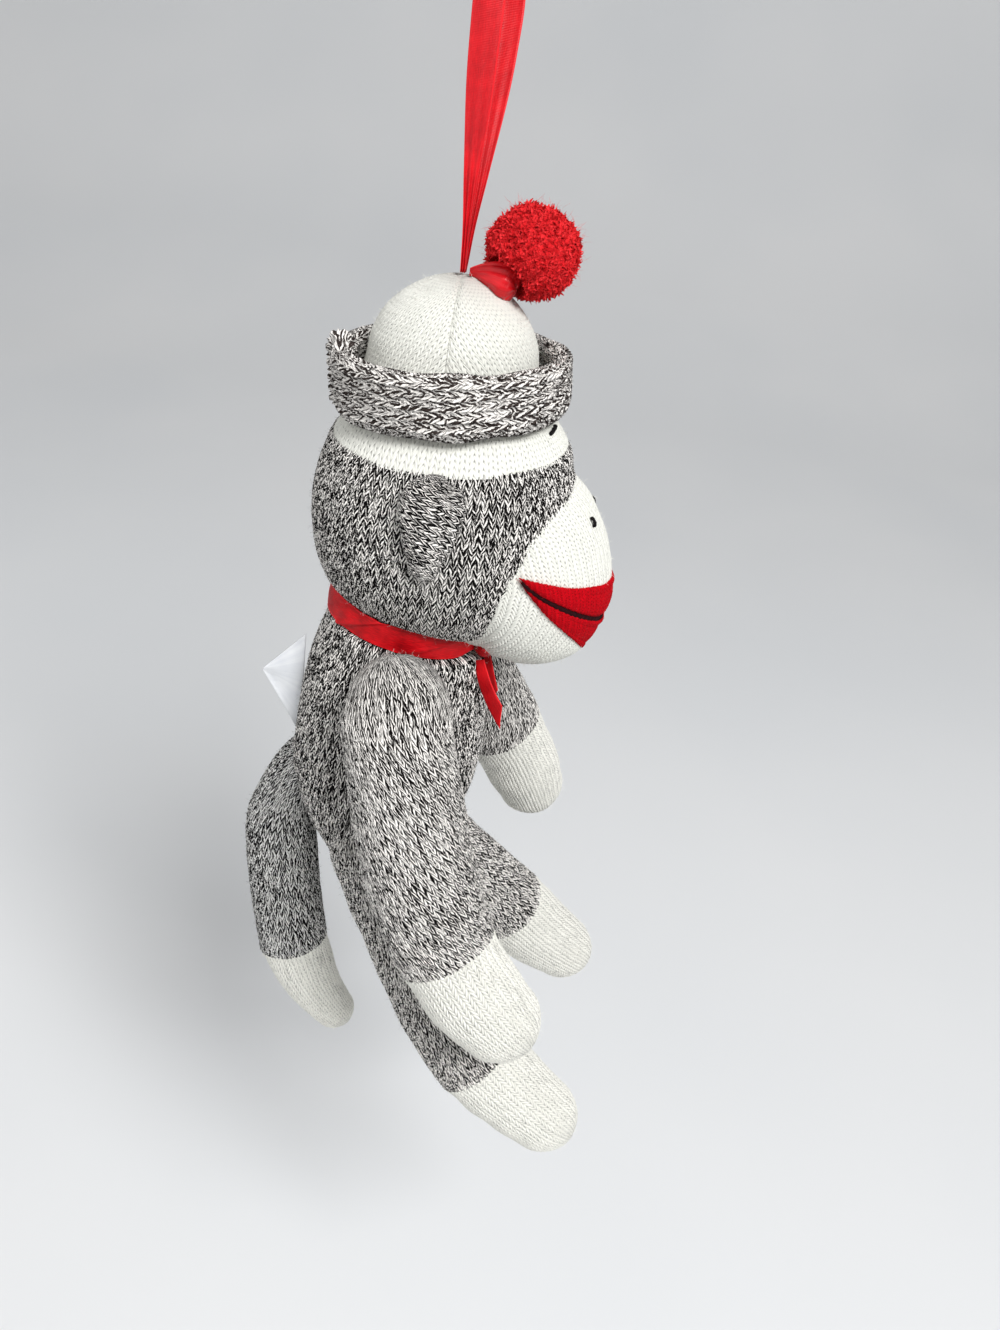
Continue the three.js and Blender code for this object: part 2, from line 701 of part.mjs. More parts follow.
const knotOut = new THREE.Vector3(
  -Math.sin(degrees(KNOT_AZIMUTH_DEG)), -Math.cos(degrees(KNOT_AZIMUTH_DEG)), 0,
);
const knotSeat = NECK_RADIUS + RIBBON_THICKNESS + SEAM_GAP + KNOT_DEPTH / 2;
const knotLocal = knotOut
  .clone()
  .multiplyScalar(knotSeat)
  .addScaledVector(Z, -SEAM_GAP - RIBBON_WIDTH / 2);

function collarKnot() {
  const knot = new THREE.SphereGeometry(1, 16, 12);
  knot.scale(KNOT_WIDTH / 2, KNOT_DEPTH / 2, KNOT_HEIGHT / 2);
  knot.rotateZ(-degrees(KNOT_AZIMUTH_DEG));
  knot.translate(knotLocal.x, knotLocal.y, knotLocal.z);
  return atNeck(solidOf(knot));
}

// A loose ribbon end: a flat strip with a slanted cut, hanging from the knot.
function ribbonEnd(side) {
  const strip = new THREE.Shape();
  strip.moveTo(-RIBBON_END_WIDTH / 2, 0);
  strip.lineTo(-RIBBON_END_WIDTH / 2, -RIBBON_END_LENGTH);
  strip.lineTo(RIBBON_END_WIDTH / 2, RIBBON_END_WIDTH - RIBBON_END_LENGTH);
  strip.lineTo(RIBBON_END_WIDTH / 2, 0);
  strip.closePath();
  const flat = new THREE.ExtrudeGeometry(strip, { depth: RIBBON_THICKNESS, bevelEnabled: false });
  flat.translate(0, 0, -RIBBON_THICKNESS / 2);
  flat.rotateY(Math.PI / 2);
  flat.rotateX(Math.PI / 2);
  flat.rotateX(-degrees(side < 0 ? RIBBON_END_RISE_DEG : RIBBON_END_RISE_DEG / 2));
  flat.rotateY(-side * degrees(RIBBON_END_SPREAD_DEG));
  flat.rotateZ(-degrees(KNOT_AZIMUTH_DEG));
  const hang = knotLocal.clone().addScaledVector(Z, -KNOT_HEIGHT / 2 - SEAM_GAP);
  hang.x += (side * KNOT_WIDTH) / 4;
  flat.translate(hang.x, hang.y, hang.z);
  return cut(atNeck(solidOf(flat)), torsoColumn(SEAM_GAP), collarKnot());
}

// The label's visible corner stands out of the centre back seam.
function label() {
  const back = TORSO_DEPTH / 2;
  const outline = new THREE.Shape();
  outline.moveTo(back / 2, -LABEL_TOP_DROP);
  outline.lineTo(back / 2, -LABEL_BOTTOM_DROP);
  outline.lineTo(labelSeam.y, -LABEL_BOTTOM_DROP);
  outline.lineTo(labelSeam.y + LABEL_REACH, -LABEL_CORNER_DROP);
  outline.lineTo(labelSeam.y - SEAM_GAP, -LABEL_TOP_DROP);
  outline.closePath();
  const sheet = new THREE.ExtrudeGeometry(outline, { depth: LABEL_THICKNESS, bevelEnabled: false });
  sheet.translate(0, 0, -LABEL_THICKNESS / 2);
  sheet.applyMatrix4(new THREE.Matrix4().makeBasis(Y, Z, X));
  return cut(solidOf(sheet), torsoColumn(SEAM_GAP));
}

const labelSeam = new THREE.Vector3(
  0,
  (TORSO_DEPTH / 2) * 0.99 + TORSO_SHARES[2][3] * TORSO_DEPTH,
  -(LABEL_TOP_DROP + LABEL_BOTTOM_DROP) / 2,
);

// Limbs

// How thick each limb is along its length, in shares of its radius
const ARM_SHARES = [[0, 0.96], [0.2, 1], [0.5, 1.02], [0.75, 0.92], [0.9, 0.9], [1, 0.8]];
const LEG_SHARES = [[0, 1], [0.25, 1], [0.6, 1], [0.8, 0.98], [1, 0.84]];
const TAIL_SHARES = [
  [0, 0.86], [0.08, 0.855], [0.25, 0.98], [0.5, 1], [0.75, 0.92], [0.9, 0.78], [1, 0.62],
];

// Headings in degrees forward of plumb at shares of each limb, right and left
const ARM_HEADINGS_RIGHT_DEG = [[0, 13], [0.25, 15], [0.5, 20], [0.75, 34], [1, 52]];
const ARM_HEADINGS_LEFT_DEG = [[0, 26], [0.3, 30], [0.6, 30], [1, 22]];
const LEG_HEADINGS_RIGHT_DEG = [[0, 24], [0.2, 26], [0.4, 27], [0.6, 35], [0.8, 50], [1, 58]];
const LEG_HEADINGS_LEFT_DEG = [[0, 27], [0.25, 38], [0.5, 42], [0.75, 41], [1, 48]];
const TAIL_HEADINGS_DEG = [[0, -40], [0.12, -18], [0.3, 4], [0.55, 9], [0.8, 24], [1, 42]];
const ARM_SPLAY_RIGHT_DEG = 8;
const ARM_SPLAY_LEFT_DEG = 19;
const LEG_SPLAY_RIGHT_DEG = 5;
const LEG_SPLAY_LEFT_DEG = 18;

function shoulder(side) {
  const out = TORSO_WIDTH / 2 + SHOULDER_OUT_SHARE * ARM_RADIUS;
  return new THREE.Vector3(side * out, SHOULDER_BACK, -SHOULDER_DROP);
}

function hip(side) {
  return new THREE.Vector3(side * (LEG_RADIUS + HIP_WALL / 2), HIP_BACK, -HIP_DROP);
}

const tailRoot = new THREE.Vector3(0, TAIL_BACK, -TAIL_DROP);

// A limb in two colours: the marl part from its root and the white part to its round end.
function limb(line, length, radius, shares, whiteLength) {
  const thickness = along(shares);
  const reach = (share) => radius * thickness(share);
  const change = 1 - whiteLength / length;
  const gap = SEAM_GAP / 2 / length;
  return {
    marl: stuffed(line, reach, reach, { to: change - gap, roundEnd: false }),
    white: stuffed(line, reach, reach, { from: change + gap, roundStart: false, steps: 5 }),
  };
}

function arm(side) {
  const headings = side < 0 ? ARM_HEADINGS_RIGHT_DEG : ARM_HEADINGS_LEFT_DEG;
  const splay = side < 0 ? -ARM_SPLAY_RIGHT_DEG : ARM_SPLAY_LEFT_DEG;
  const line = limbLine(shoulder(side), ARM_LENGTH, headings, splay);
  const paw = side < 0 ? PAW_LENGTH : LEFT_PAW_LENGTH;
  const { marl, white } = limb(line, ARM_LENGTH, ARM_RADIUS, ARM_SHARES, paw);
  // the inner side is sewn flat against the torso's flank
  const flank = new THREE.BoxGeometry(TORSO_WIDTH + 2 * SEAM_GAP, 4 * OVERRUN, 4 * OVERRUN);
  flank.translate(0, 0, -SHOULDER_DROP);
  return { marl: cut(marl, solidOf(flank)), white };
}

function leg(side) {
  const headings = side < 0 ? LEG_HEADINGS_RIGHT_DEG : LEG_HEADINGS_LEFT_DEG;
  const splay = side < 0 ? -LEG_SPLAY_RIGHT_DEG : LEG_SPLAY_LEFT_DEG;
  const line = limbLine(hip(side), LEG_LENGTH, headings, splay);
  const foot = side < 0 ? FOOT_LENGTH : LEFT_FOOT_LENGTH;
  return limb(line, LEG_LENGTH, LEG_RADIUS, LEG_SHARES, foot);
}

function tail() {
  const line = limbLine(tailRoot, TAIL_LENGTH, TAIL_HEADINGS_DEG, 0);
  const { marl, white } = limb(line, TAIL_LENGTH, TAIL_RADIUS, TAIL_SHARES, TAIL_TIP_LENGTH);
  return { marl: cut(marl, cut(torsoColumn(SEAM_GAP), tailSocket()), label()), white };
}

// Assembly

const doll = new THREE.Group();
doll.position.z = -LOOP_HEIGHT;

doll.add(mesh("hanging_loop", hangingLoop(), "satin"));
doll.add(mesh("pompom", pompomBall(), "yarn"));
doll.add(mesh("pompom_neck", pompomNeck(), "satin"));
doll.add(mesh("hat_crown", hatCrown(), "cream"));
doll.add(mesh("hat_cuff", hatCuff(), "marl"));
doll.add(mesh("head_cap", headCap(), "cream"));
doll.add(mesh("head", head(), "headMarl"));
doll.add(mesh("muzzle", muzzle(), "cream"));
doll.add(mesh("upper_lip", upperLip(), "red"));
doll.add(mesh("lower_lip", lowerLip(), "red"));
doll.add(mesh("smile_thread", smileThread(), "thread"));
doll.add(mesh("torso", torso(), "marl"));
doll.add(mesh("collar_ribbon", collarBand(), "satin"));
doll.add(mesh("collar_knot", collarKnot(), "satin"));
doll.add(mesh("label", label(), "label"));

for (const [word, side] of [["right", -1], ["left", 1]]) {
  doll.add(mesh(`eye_${word}`, eye(side), "thread"));
  doll.add(mesh(`nostril_${word}`, nostril(side), "thread"));
  doll.add(mesh(`ear_${word}`, ear(side), "headMarl"));
  doll.add(mesh(`ribbon_end_${word}`, ribbonEnd(side), "satin"));
  const { marl: sleeve, white: paw } = arm(side);
  doll.add(mesh(`arm_${word}`, sleeve, "marl"), mesh(`paw_${word}`, paw, "cream"));
  const { marl: shin, white: foot } = leg(side);
  doll.add(mesh(`leg_${word}`, shin, "marl"), mesh(`foot_${word}`, foot, "cream"));
}

const { marl: tailTube, white: tailTip } = tail();
doll.add(mesh("tail", tailTube, "marl"), mesh("tail_tip", tailTip, "cream"));

const part = new THREE.Group();
part.add(doll);

export default part;
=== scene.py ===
# %% [markdown]
# This notebook dresses a hanging sock monkey doll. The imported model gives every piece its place,
# and each cell below makes one piece or one finish at that place. All sizes are written in
# millimetres and turned into metres when a mesh is made, because a toy maker thinks in millimetres.
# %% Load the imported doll
import math

import bpy
import numpy as np
from mathutils import Matrix


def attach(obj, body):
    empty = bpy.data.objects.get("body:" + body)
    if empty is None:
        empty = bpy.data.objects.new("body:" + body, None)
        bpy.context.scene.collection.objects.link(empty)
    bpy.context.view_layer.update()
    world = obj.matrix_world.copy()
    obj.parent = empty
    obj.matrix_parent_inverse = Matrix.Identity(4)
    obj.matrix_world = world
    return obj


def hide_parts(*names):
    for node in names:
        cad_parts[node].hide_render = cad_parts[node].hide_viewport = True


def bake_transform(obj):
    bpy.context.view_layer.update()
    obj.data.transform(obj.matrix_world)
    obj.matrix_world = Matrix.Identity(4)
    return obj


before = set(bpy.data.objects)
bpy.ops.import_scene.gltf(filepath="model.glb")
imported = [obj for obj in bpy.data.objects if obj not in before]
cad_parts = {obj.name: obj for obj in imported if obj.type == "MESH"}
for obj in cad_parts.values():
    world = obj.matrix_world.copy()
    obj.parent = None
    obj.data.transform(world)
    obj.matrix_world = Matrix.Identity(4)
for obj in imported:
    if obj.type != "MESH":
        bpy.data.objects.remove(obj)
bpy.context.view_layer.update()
MM = 0.001
print("nodes:", len(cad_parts))

# %% [markdown]
# The camera stands where the photograph was taken: close to the doll's right side, a little above
# its hat and looking down. A short distance makes the near arm look larger than the far one, so
# the place of the camera matters as much as its direction. Its lens is given by the height of the
# picture measured in its own focal length.
# %% Camera
HAT_TIP = -78.0  # height of the hat's tip below the hook
FOCAL_PIXELS = 1150
PICTURE_HEIGHT = 1330
CAMERA_PLACE = np.array([-312.15, -23.99, -35.9])
look_down, tilt = math.radians(26), math.radians(8.2)
level_right = np.array([0, -1.0, 0])
level_up = np.array([math.sin(look_down), 0, math.cos(look_down)])
ahead = np.array([math.cos(look_down), 0, -math.sin(look_down)])
picture_right = math.cos(tilt) * level_right + math.sin(tilt) * level_up
picture_up = math.cos(tilt) * level_up - math.sin(tilt) * level_right

lens = bpy.data.cameras.new("picture_lens")
lens.sensor_fit = "VERTICAL"
lens.sensor_height = 24
lens.lens = lens.sensor_height * FOCAL_PIXELS / PICTURE_HEIGHT
lens.clip_start = 0.01
camera = bpy.data.objects.new("picture_camera", lens)
bpy.context.collection.objects.link(camera)
turn = Matrix([picture_right, picture_up, -ahead]).transposed()
camera.matrix_world = Matrix.Translation(CAMERA_PLACE * MM) @ turn.to_4x4()
bpy.context.scene.camera = camera
print("lens", round(lens.lens, 2), "mm")

# %% [markdown]
# Knitted pieces follow soft curves. A table of a few chosen values becomes a smooth curve here,
# and a list of places becomes a smooth route with evenly spaced points. Both are used for every
# limb and ribbon, so they are defined first.
# %% Smooth curves through chosen values
def steps_of(points):
    return np.linalg.norm(np.diff(points, axis=0), axis=1)


def travelled(points):
    return np.concatenate([[0], np.cumsum(steps_of(points))])


def smooth(pairs):
    """A smooth curve through (place, value) pairs, read at any place between the first and last."""
    places, values = np.array(pairs, float).T
    slopes = np.gradient(values, places)

    def read(at):
        at = np.clip(at, places[0], places[-1])
        i = np.clip(np.searchsorted(places, at) - 1, 0, len(places) - 2)
        step = places[i + 1] - places[i]
        t = (at - places[i]) / step
        rise = values[i + 1] * t * t * (3 - 2 * t) + values[i] * (1 + 2 * t) * (1 - t) ** 2
        bend = slopes[i] * t * (1 - t) ** 2 + slopes[i + 1] * t * t * (t - 1)
        return rise + step * bend

    return read


def smooth_route(points, count):
    points = np.array(points, float)
    along = travelled(points)
    fine = np.linspace(0, along[-1], 40 * len(points))
    curve = np.stack([smooth(np.column_stack([along, points[:, k]]))(fine) for k in range(3)], 1)
    lengths = travelled(curve)
    even = np.linspace(0, lengths[-1], count)
    return np.stack([np.interp(even, lengths, curve[:, k]) for k in range(3)], 1)


def unit(vectors):
    return vectors / np.maximum(np.linalg.norm(vectors, axis=-1, keepdims=True), 1e-9)


def full_turn(count):
    return np.arange(count) / count * 2 * math.pi


print("halfway up a smooth step:", round(float(smooth([(0, 0), (1, 1), (2, 1)])(0.5)), 3))

# %% [markdown]
# Every soft piece is a net of rows and columns. Making the mesh straight from that net keeps the
# knitting's own order: a column is a wale of stitches and a row is a course. Two maps go with it,
# one counted in stitches for the pattern and one that fills the unit square. The first helper lists
# the squares of the net with both maps, and leaves out those that are hidden under another piece.
# %% The squares of a net
CLOTH_PART = 0.96  # share of the square map that the cloth fills, beside a corner for loose fibres
FIBRE_CORNER = np.array([[0.98, 0.98], [0.99, 0.98], [0.99, 0.99], [0.98, 0.99]])


def net_squares(shape, pattern, closed, skip):
    rows, cols = shape
    wide = cols if closed else cols - 1
    i, j = np.meshgrid(np.arange(rows - 1), np.arange(wide), indexing="ij")
    right = (j + 1) % cols
    here, below = i * cols, (i + 1) * cols
    quads = np.stack([here + j, here + right, below + right, below + j], -1)
    corners = np.stack([pattern[i, j], pattern[i, j + 1],
                        pattern[i + 1, j + 1], pattern[i + 1, j]], -2)
    squares = np.stack([np.stack([j, j + 1, j + 1, j], -1) / wide,
                        np.stack([i, i, i + 1, i + 1], -1) / (rows - 1)], -1)
    if skip is not None:
        kept = ~skip[quads // cols, quads % cols].all(-1)
        quads, corners, squares = quads[kept], corners[kept], squares[kept]
    squares = squares.reshape(-1, 4, 2) * CLOTH_PART + 0.01
    return quads.reshape(-1, 4), corners.reshape(-1, 4, 2), squares


print("the cloth fills", CLOTH_PART, "of its square map")

# %% [markdown]
# The second helper makes the mesh. Loose fibres can come with it as extra squares in their own
# material, and either end of a closed net can get a cap. Two short helpers make the stitch map of a
# plain net, and say what a piece is for.
# %% Turn a net of points into a mesh
def net_mesh(name, points, pattern, closed=True, capped=(False, False), skip=None, extra=None):
    rows, cols = points.shape[:2]
    quads, corners, squares = net_squares((rows, cols), pattern, closed, skip)
    spots = points.reshape(-1, 3)
    kinds = np.zeros(len(quads), int)
    if extra is not None:
        hairs, hair_quads, hair_marks = extra
        quads = np.concatenate([quads, hair_quads + len(spots)])
        spots = np.concatenate([spots, hairs])
        corners = np.concatenate([corners, hair_marks])
        squares = np.concatenate([squares, np.broadcast_to(FIBRE_CORNER, (len(hair_quads), 4, 2))])
        kinds = np.concatenate([kinds, np.ones(len(hair_quads), int)])
    first, last = np.arange(cols)[::-1], np.arange(cols) + (rows - 1) * cols
    ends = [ring for ring, wanted in zip((first, last), capped) if wanted]
    loops = np.concatenate([quads.reshape(-1)] + ends)
    starts = np.concatenate([np.arange(len(quads)) * 4,
                             len(quads) * 4 + cols * np.arange(len(ends))])
    mesh = bpy.data.meshes.new(name)
    mesh.vertices.add(len(spots))
    mesh.vertices.foreach_set("co", (spots * MM).astype(np.float32).ravel())
    mesh.loops.add(len(loops))
    mesh.loops.foreach_set("vertex_index", loops.astype(np.int32))
    mesh.polygons.add(len(starts))
    mesh.polygons.foreach_set("loop_start", starts.astype(np.int32))
    kinds = np.concatenate([kinds, np.zeros(len(ends), int)])
    mesh.polygons.foreach_set("material_index", kinds.astype(np.int32))
    spare = np.zeros((cols * len(ends), 2))
    for title, marks in (("OFBake", squares), ("stitches", corners)):
        layer = mesh.uv_layers.new(name=title)
        values = np.concatenate([marks.reshape(-1, 2), spare + 0.005])
        layer.data.foreach_set("uv", values.astype(np.float32).ravel())
    mesh.update(calc_edges=True)
    mesh.validate()
    mesh.polygons.foreach_set("use_smooth", np.ones(len(mesh.polygons), bool))
    mesh.uv_layers["OFBake"].active_render = True
    piece = bpy.data.objects.new(name, mesh)
    bpy.context.collection.objects.link(piece)
    return piece


def even_marks(across, along):
    """The stitch map of a plain net, from its places across and its places along."""
    return np.stack(np.meshgrid(across, along), -1)


def dress(piece, body, node, finish=None):
    """Says which body carries a piece and which solid it stands for."""
    if finish:
        piece.data.materials.append(finish)
    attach(piece, body)
    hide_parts(node)


print("stitch map of 2 by 3 places:", even_marks(np.zeros(3), np.zeros(2)).shape)

# %% [markdown]
# Stockinette looks like columns of V shapes. Each V has two slanted legs, and each leg is a short
# round piece of yarn. The same small formula gives the height of the yarn at any place counted in
# wales and courses, here for the mesh and further down for the material, so both agree.
# %% The height of a stitch
SLANT = 1.5  # how many courses a leg climbs across half a wale
LEG_ROOT = 0.14  # the two legs touch in the middle of their wale, so the gap there is shallow
STRAND_ROUND, LEG_ROUND = 0.6, 0.5  # powers under 1 make the yarn's section fuller
WALE_COLUMNS, COURSE_ROWS = 6, 4  # columns of points in a wale and rows of points in a course


def stitch_height(wale, course):
    across = np.abs(2 * (wale - np.floor(wale)) - 1)
    phase = course + SLANT * across
    strand = np.sin(np.pi * (phase - np.floor(phase)))
    leg = np.sin(np.pi * (LEG_ROOT + (1 - LEG_ROOT) * across))
    return np.clip(leg, 0, 1) ** LEG_ROUND * np.clip(strand, 0, 1) ** STRAND_ROUND


print("yarn stands", round(float(stitch_height(0.8, 0.6)), 2), "high in a leg, of 1 at most")

# %% [markdown]
# Cloth over a filling is never quite even. These helpers find which way a net faces, move it that
# way, and give it a soft unevenness. That is a sum of waves drawn from a fixed seed, so that every
# run is the same.
# %% Facing and unevenness
WAVES = 10


def net_normals(points, closed=True):
    if closed:
        across = np.roll(points, -1, 1) - np.roll(points, 1, 1)
    else:
        across = np.gradient(points, axis=1)
    return unit(np.cross(across, np.gradient(points, axis=0)))


def swell(net, amount, closed=True):
    """Moves each place outwards by its own amount, or inwards where that is below zero."""
    return net + net_normals(net, closed) * amount[..., None]


def soft_noise(points, size, seed):
    random = np.random.default_rng(seed)
    waves = random.normal(size=(WAVES, 3)) / size
    shifts = random.uniform(0, 2 * np.pi, WAVES)
    return np.sin(points @ waves.T * 2.2 + shifts).mean(-1) * 1.4


def lumps(points, amount, size, seed):
    fine = 0.5 * soft_noise(points, size / 2, seed + 7)
    return swell(points, amount * (soft_noise(points, size, seed) + fine))


print("waves in the unevenness:", WAVES)

# %% [markdown]
# Real knitting is never bald. Loose fibres stand off the yarn and blur its outline against the
# light. Each fibre here is a very thin bent strip that starts at a stitch and leans over at random.
# %% Loose fibres
def loose_fibres(points, normals, pattern, count, length, seed, thickness=0.05, stand=(0.15, 0.9)):
    random = np.random.default_rng(seed)
    rows, cols = points.shape[:2]
    gaps = np.linalg.norm(np.roll(points, -1, 1) - points, axis=-1)
    picks = random.choice(rows * cols, count, p=gaps.ravel() / gaps.sum())
    roots = points.reshape(-1, 3)[picks]
    up = normals.reshape(-1, 3)[picks]
    marks = pattern[:, :cols].reshape(-1, 2)[picks]
    sway = unit(random.normal(size=(count, 3)))
    bend = unit(random.normal(size=(count, 3)))
    reach = length * random.uniform(0.4, 1.3, (count, 1)) ** 1.5
    heading = unit(up * random.uniform(*stand, (count, 1)) + sway * 0.8)
    middle = roots + heading * reach * 0.5
    tip = middle + unit(heading + 0.8 * bend) * reach * 0.5
    broad = unit(np.cross(heading, bend)) * thickness / 2
    edges = [roots - broad, roots + broad, middle - broad, middle + broad,
             tip - broad / 3, tip + broad / 3]
    spots = np.stack(edges, 1).reshape(-1, 3)
    first = np.arange(count)[:, None] * 6
    quads = np.concatenate([first + [0, 1, 3, 2], first + [2, 3, 5, 4]])
    return spots, quads, np.repeat(np.concatenate([marks, marks])[:, None], 4, 1)


print("a loose fibre is a strip of 2 squares")

# %% [markdown]
# A knitted piece joins these steps: take the smooth surface, raise the stitches on it, add fibres
# and make the mesh. The relief fades where wales crowd together at a tip, as it does on a sock.
# Where a piece narrows, `gather` can drop wales row by row, counted from the middle of its front.
# %% A knitted piece
def knitted(name, points, wales, courses, finish, relief, fuzz, seed, fuzz_length=1.6,
            turned=False, closed=True, capped=(False, False), skip=None, lean=0.0, gather=None):
    rows, cols = points.shape[:2]
    wide_count, deep_count = (courses, wales) if turned else (wales, courses)
    across = np.linspace(0, wide_count, cols + 1 if closed else cols)
    wide, deep = np.meshgrid(across, np.linspace(0, deep_count, rows))
    if gather is not None:
        wide = wales * ((wide / wales + 0.25) % 1 - 0.5) * gather[:, None]
    pattern = np.stack([deep, wide] if turned else [wide, deep], -1)
    pattern[..., 0] += lean * pattern[..., 1]
    normals = net_normals(points, closed)
    gaps = np.linalg.norm(np.roll(points, -1, 1) - points, axis=-1)
    fade = np.clip(gaps / np.percentile(gaps, 70) * 1.6 - 0.4, 0, 1)
    marks = pattern[:, :cols]
    lift = relief * fade * (stitch_height(marks[..., 0], marks[..., 1]) - 0.5)
    raised = points + normals * lift[..., None]
    area = gaps.mean() * np.linalg.norm(np.diff(points, axis=0), axis=-1).mean() * rows * cols
    extra = loose_fibres(raised, normals, pattern, int(area * fuzz), fuzz_length, seed)
    piece = net_mesh(name, raised, pattern, closed, capped, skip, extra)
    piece.data.materials.append(finish)
    piece.data.materials.append(fibre_finish[finish.name])
    print(name, len(piece.data.polygons), "faces")
    return piece


print("a wale has", WALE_COLUMNS, "columns of points and a course", COURSE_ROWS, "rows")

# %% [markdown]
# Stuffing is worked out on a coarse copy of a net. This helper reads a net at other counts of rows
# and columns, with smooth curves between its points, so that it serves both ways.
# %% Read a net at other counts
def sample(grid, rows, cols, loop=True):
    def along(values, count, loop):
        last = len(values) if loop else len(values) - 1
        at = np.arange(count) * last / (count if loop else count - 1)
        low = np.minimum(at.astype(int), last - 1)
        t = (at - low)[:, None, None]
        around = [low + k for k in (-1, 0, 1, 2)]
        a, b, c, d = (values[k % len(values) if loop else np.clip(k, 0, last)] for k in around)
        bend = 2 * a - 5 * b + 4 * c - d + t * (3 * (b - c) + d - a)
        return b + 0.5 * t * (c - a + t * bend)

    grid = along(grid, rows, False)
    return along(grid.transpose(1, 0, 2), cols, loop).transpose(1, 0, 2)


print("a net of 3 by 2 read at", sample(np.zeros((3, 2, 1)), 5, 4).shape[:2])

# %% [markdown]
# Stuffing pushes cloth outwards and the seams hold it back. To get that shape, the coarse copy is
# laid a little inside its net and blown up as cloth, with its two end rows held still. How far each
# point has moved is then carried over to the fine net, and no point may move more than asked. The
# copy is ten times as large, since cloth settings suit large things.
# %% Blow up a net
CLOTH_ROWS, CLOTH_COLS = 30, 40
CLOTH_INSET = 0.5  # how far inside the net the cloth starts
CLOTH_SHRINK = -0.015  # a negative shrink lets the cloth grow
CLOTH_SIZE = 10
CLOTH_FRAMES = 20
CLOTH_PRESSURE = 4


def cloth_settings(copy):
    pins = copy.vertex_groups.new(name="held")
    last = (CLOTH_ROWS - 1) * CLOTH_COLS
    pins.add(list(range(CLOTH_COLS)) + list(range(last, last + CLOTH_COLS)), 1.0, "REPLACE")
    cloth = copy.modifiers.new("filling", "CLOTH")
    cloth.settings.use_pressure = True
    cloth.settings.uniform_pressure_force = CLOTH_PRESSURE
    cloth.settings.effector_weights.gravity = 0
    cloth.settings.vertex_group_mass = "held"
    cloth.settings.shrink_min = CLOTH_SHRINK
    cloth.collision_settings.use_collision = False
    cloth.point_cache.frame_start, cloth.point_cache.frame_end = 1, CLOTH_FRAMES


def stuffed(net, most=0.8):
    rows, cols = CLOTH_ROWS, CLOTH_COLS
    coarse = sample(net, rows, cols)
    hold = np.clip(np.minimum(np.arange(rows), np.arange(rows)[::-1]) / 3, 0, 1)
    start = coarse - net_normals(coarse) * (CLOTH_INSET * hold)[:, None, None]
    marks = np.zeros((rows, cols + 1, 2))
    copy = net_mesh("cloth_copy", start * CLOTH_SIZE, marks, capped=(True, True))
    cloth_settings(copy)
    for moment in range(1, CLOTH_FRAMES + 1):
        bpy.context.scene.frame_set(moment)
    blown = copy.evaluated_get(bpy.context.evaluated_depsgraph_get()).to_mesh()
    spots = np.zeros(len(blown.vertices) * 3, np.float32)
    blown.vertices.foreach_get("co", spots)
    moved = spots.reshape(rows, cols, 3) / (CLOTH_SIZE * MM) - coarse
    bpy.data.meshes.remove(copy.data)
    bpy.context.scene.frame_set(1)
    reach = np.linalg.norm(moved, axis=-1, keepdims=True)
    moved = moved * np.minimum(1, most / np.maximum(reach, 1e-6))
    print("cloth moved", round(float(reach.mean()), 2), "mm on average")
    return net + sample(moved, *net.shape[:2])


print("cloth copies have", CLOTH_ROWS, "by", CLOTH_COLS, "points")

# %% [markdown]
# The finishes are node materials that read the stitch map. Small helpers keep the wiring short:
# one adds a node, one does a sum, one blends two colours and one dresses the surface itself. Each
# connects an input when it is given another node's output, and sets it when it is given a number.
# %% Wiring helpers for finishes
def new_finish(name):
    finish = bpy.data.materials.new(name)
    finish.use_nodes = True
    tree = finish.node_tree
    shader = tree.nodes["Principled BSDF"]

    def feed(socket, value):
        if isinstance(value, bpy.types.NodeSocket):
            tree.links.new(value, socket)
        else:
            socket.default_value = value

    def add(kind, inputs=None, **settings):
        node = tree.nodes.new(kind)
        for key, value in settings.items():
            setattr(node, key, value)
        for key, value in (inputs or {}).items():
            feed(node.inputs[key], value)
        return node

    def calc(operation, *values):
        return add("ShaderNodeMath", dict(enumerate(values)), operation=operation).outputs[0]

    def blend(share, one, other, how="MIX"):
        node = add("ShaderNodeMix", data_type="RGBA", blend_type=how)
        for place, value in ((0, share), (6, one), (7, other)):
            feed(node.inputs[place], value)
        return node.outputs[2]

    def wear(**sockets):
        for key, value in sockets.items():
            feed(shader.inputs[key.replace("_", " ")], value)

    return finish, add, calc, blend, wear


def colour(red, green, blue):
    def linear(value):
        value /= 255
        return value / 12.92 if value <= 0.04045 else ((value + 0.055) / 1.055) ** 2.4

    return (linear(red), linear(green), linear(blue), 1.0)


def position(add):
    return add("ShaderNodeNewGeometry").outputs["Position"]


def noise(add, vector, scale, detail=2.0):
    return add("ShaderNodeTexNoise", {"Vector": vector, "Scale": scale, "Detail": detail}).outputs


def spread(add, value, low, high, to_low=0.0, to_high=1.0, **settings):
    """Carries what lies between low and high over to another range."""
    limits = {0: value, 1: low, 2: high, 3: to_low, 4: to_high}
    return add("ShaderNodeMapRange", limits, **settings).outputs[0]


def bumps(add, height, strength, distance):
    inputs = {"Height": height, "Strength": strength, "Distance": distance}
    return add("ShaderNodeBump", inputs).outputs[0]


print("middle grey as light:", round(colour(128, 128, 128)[0], 3))
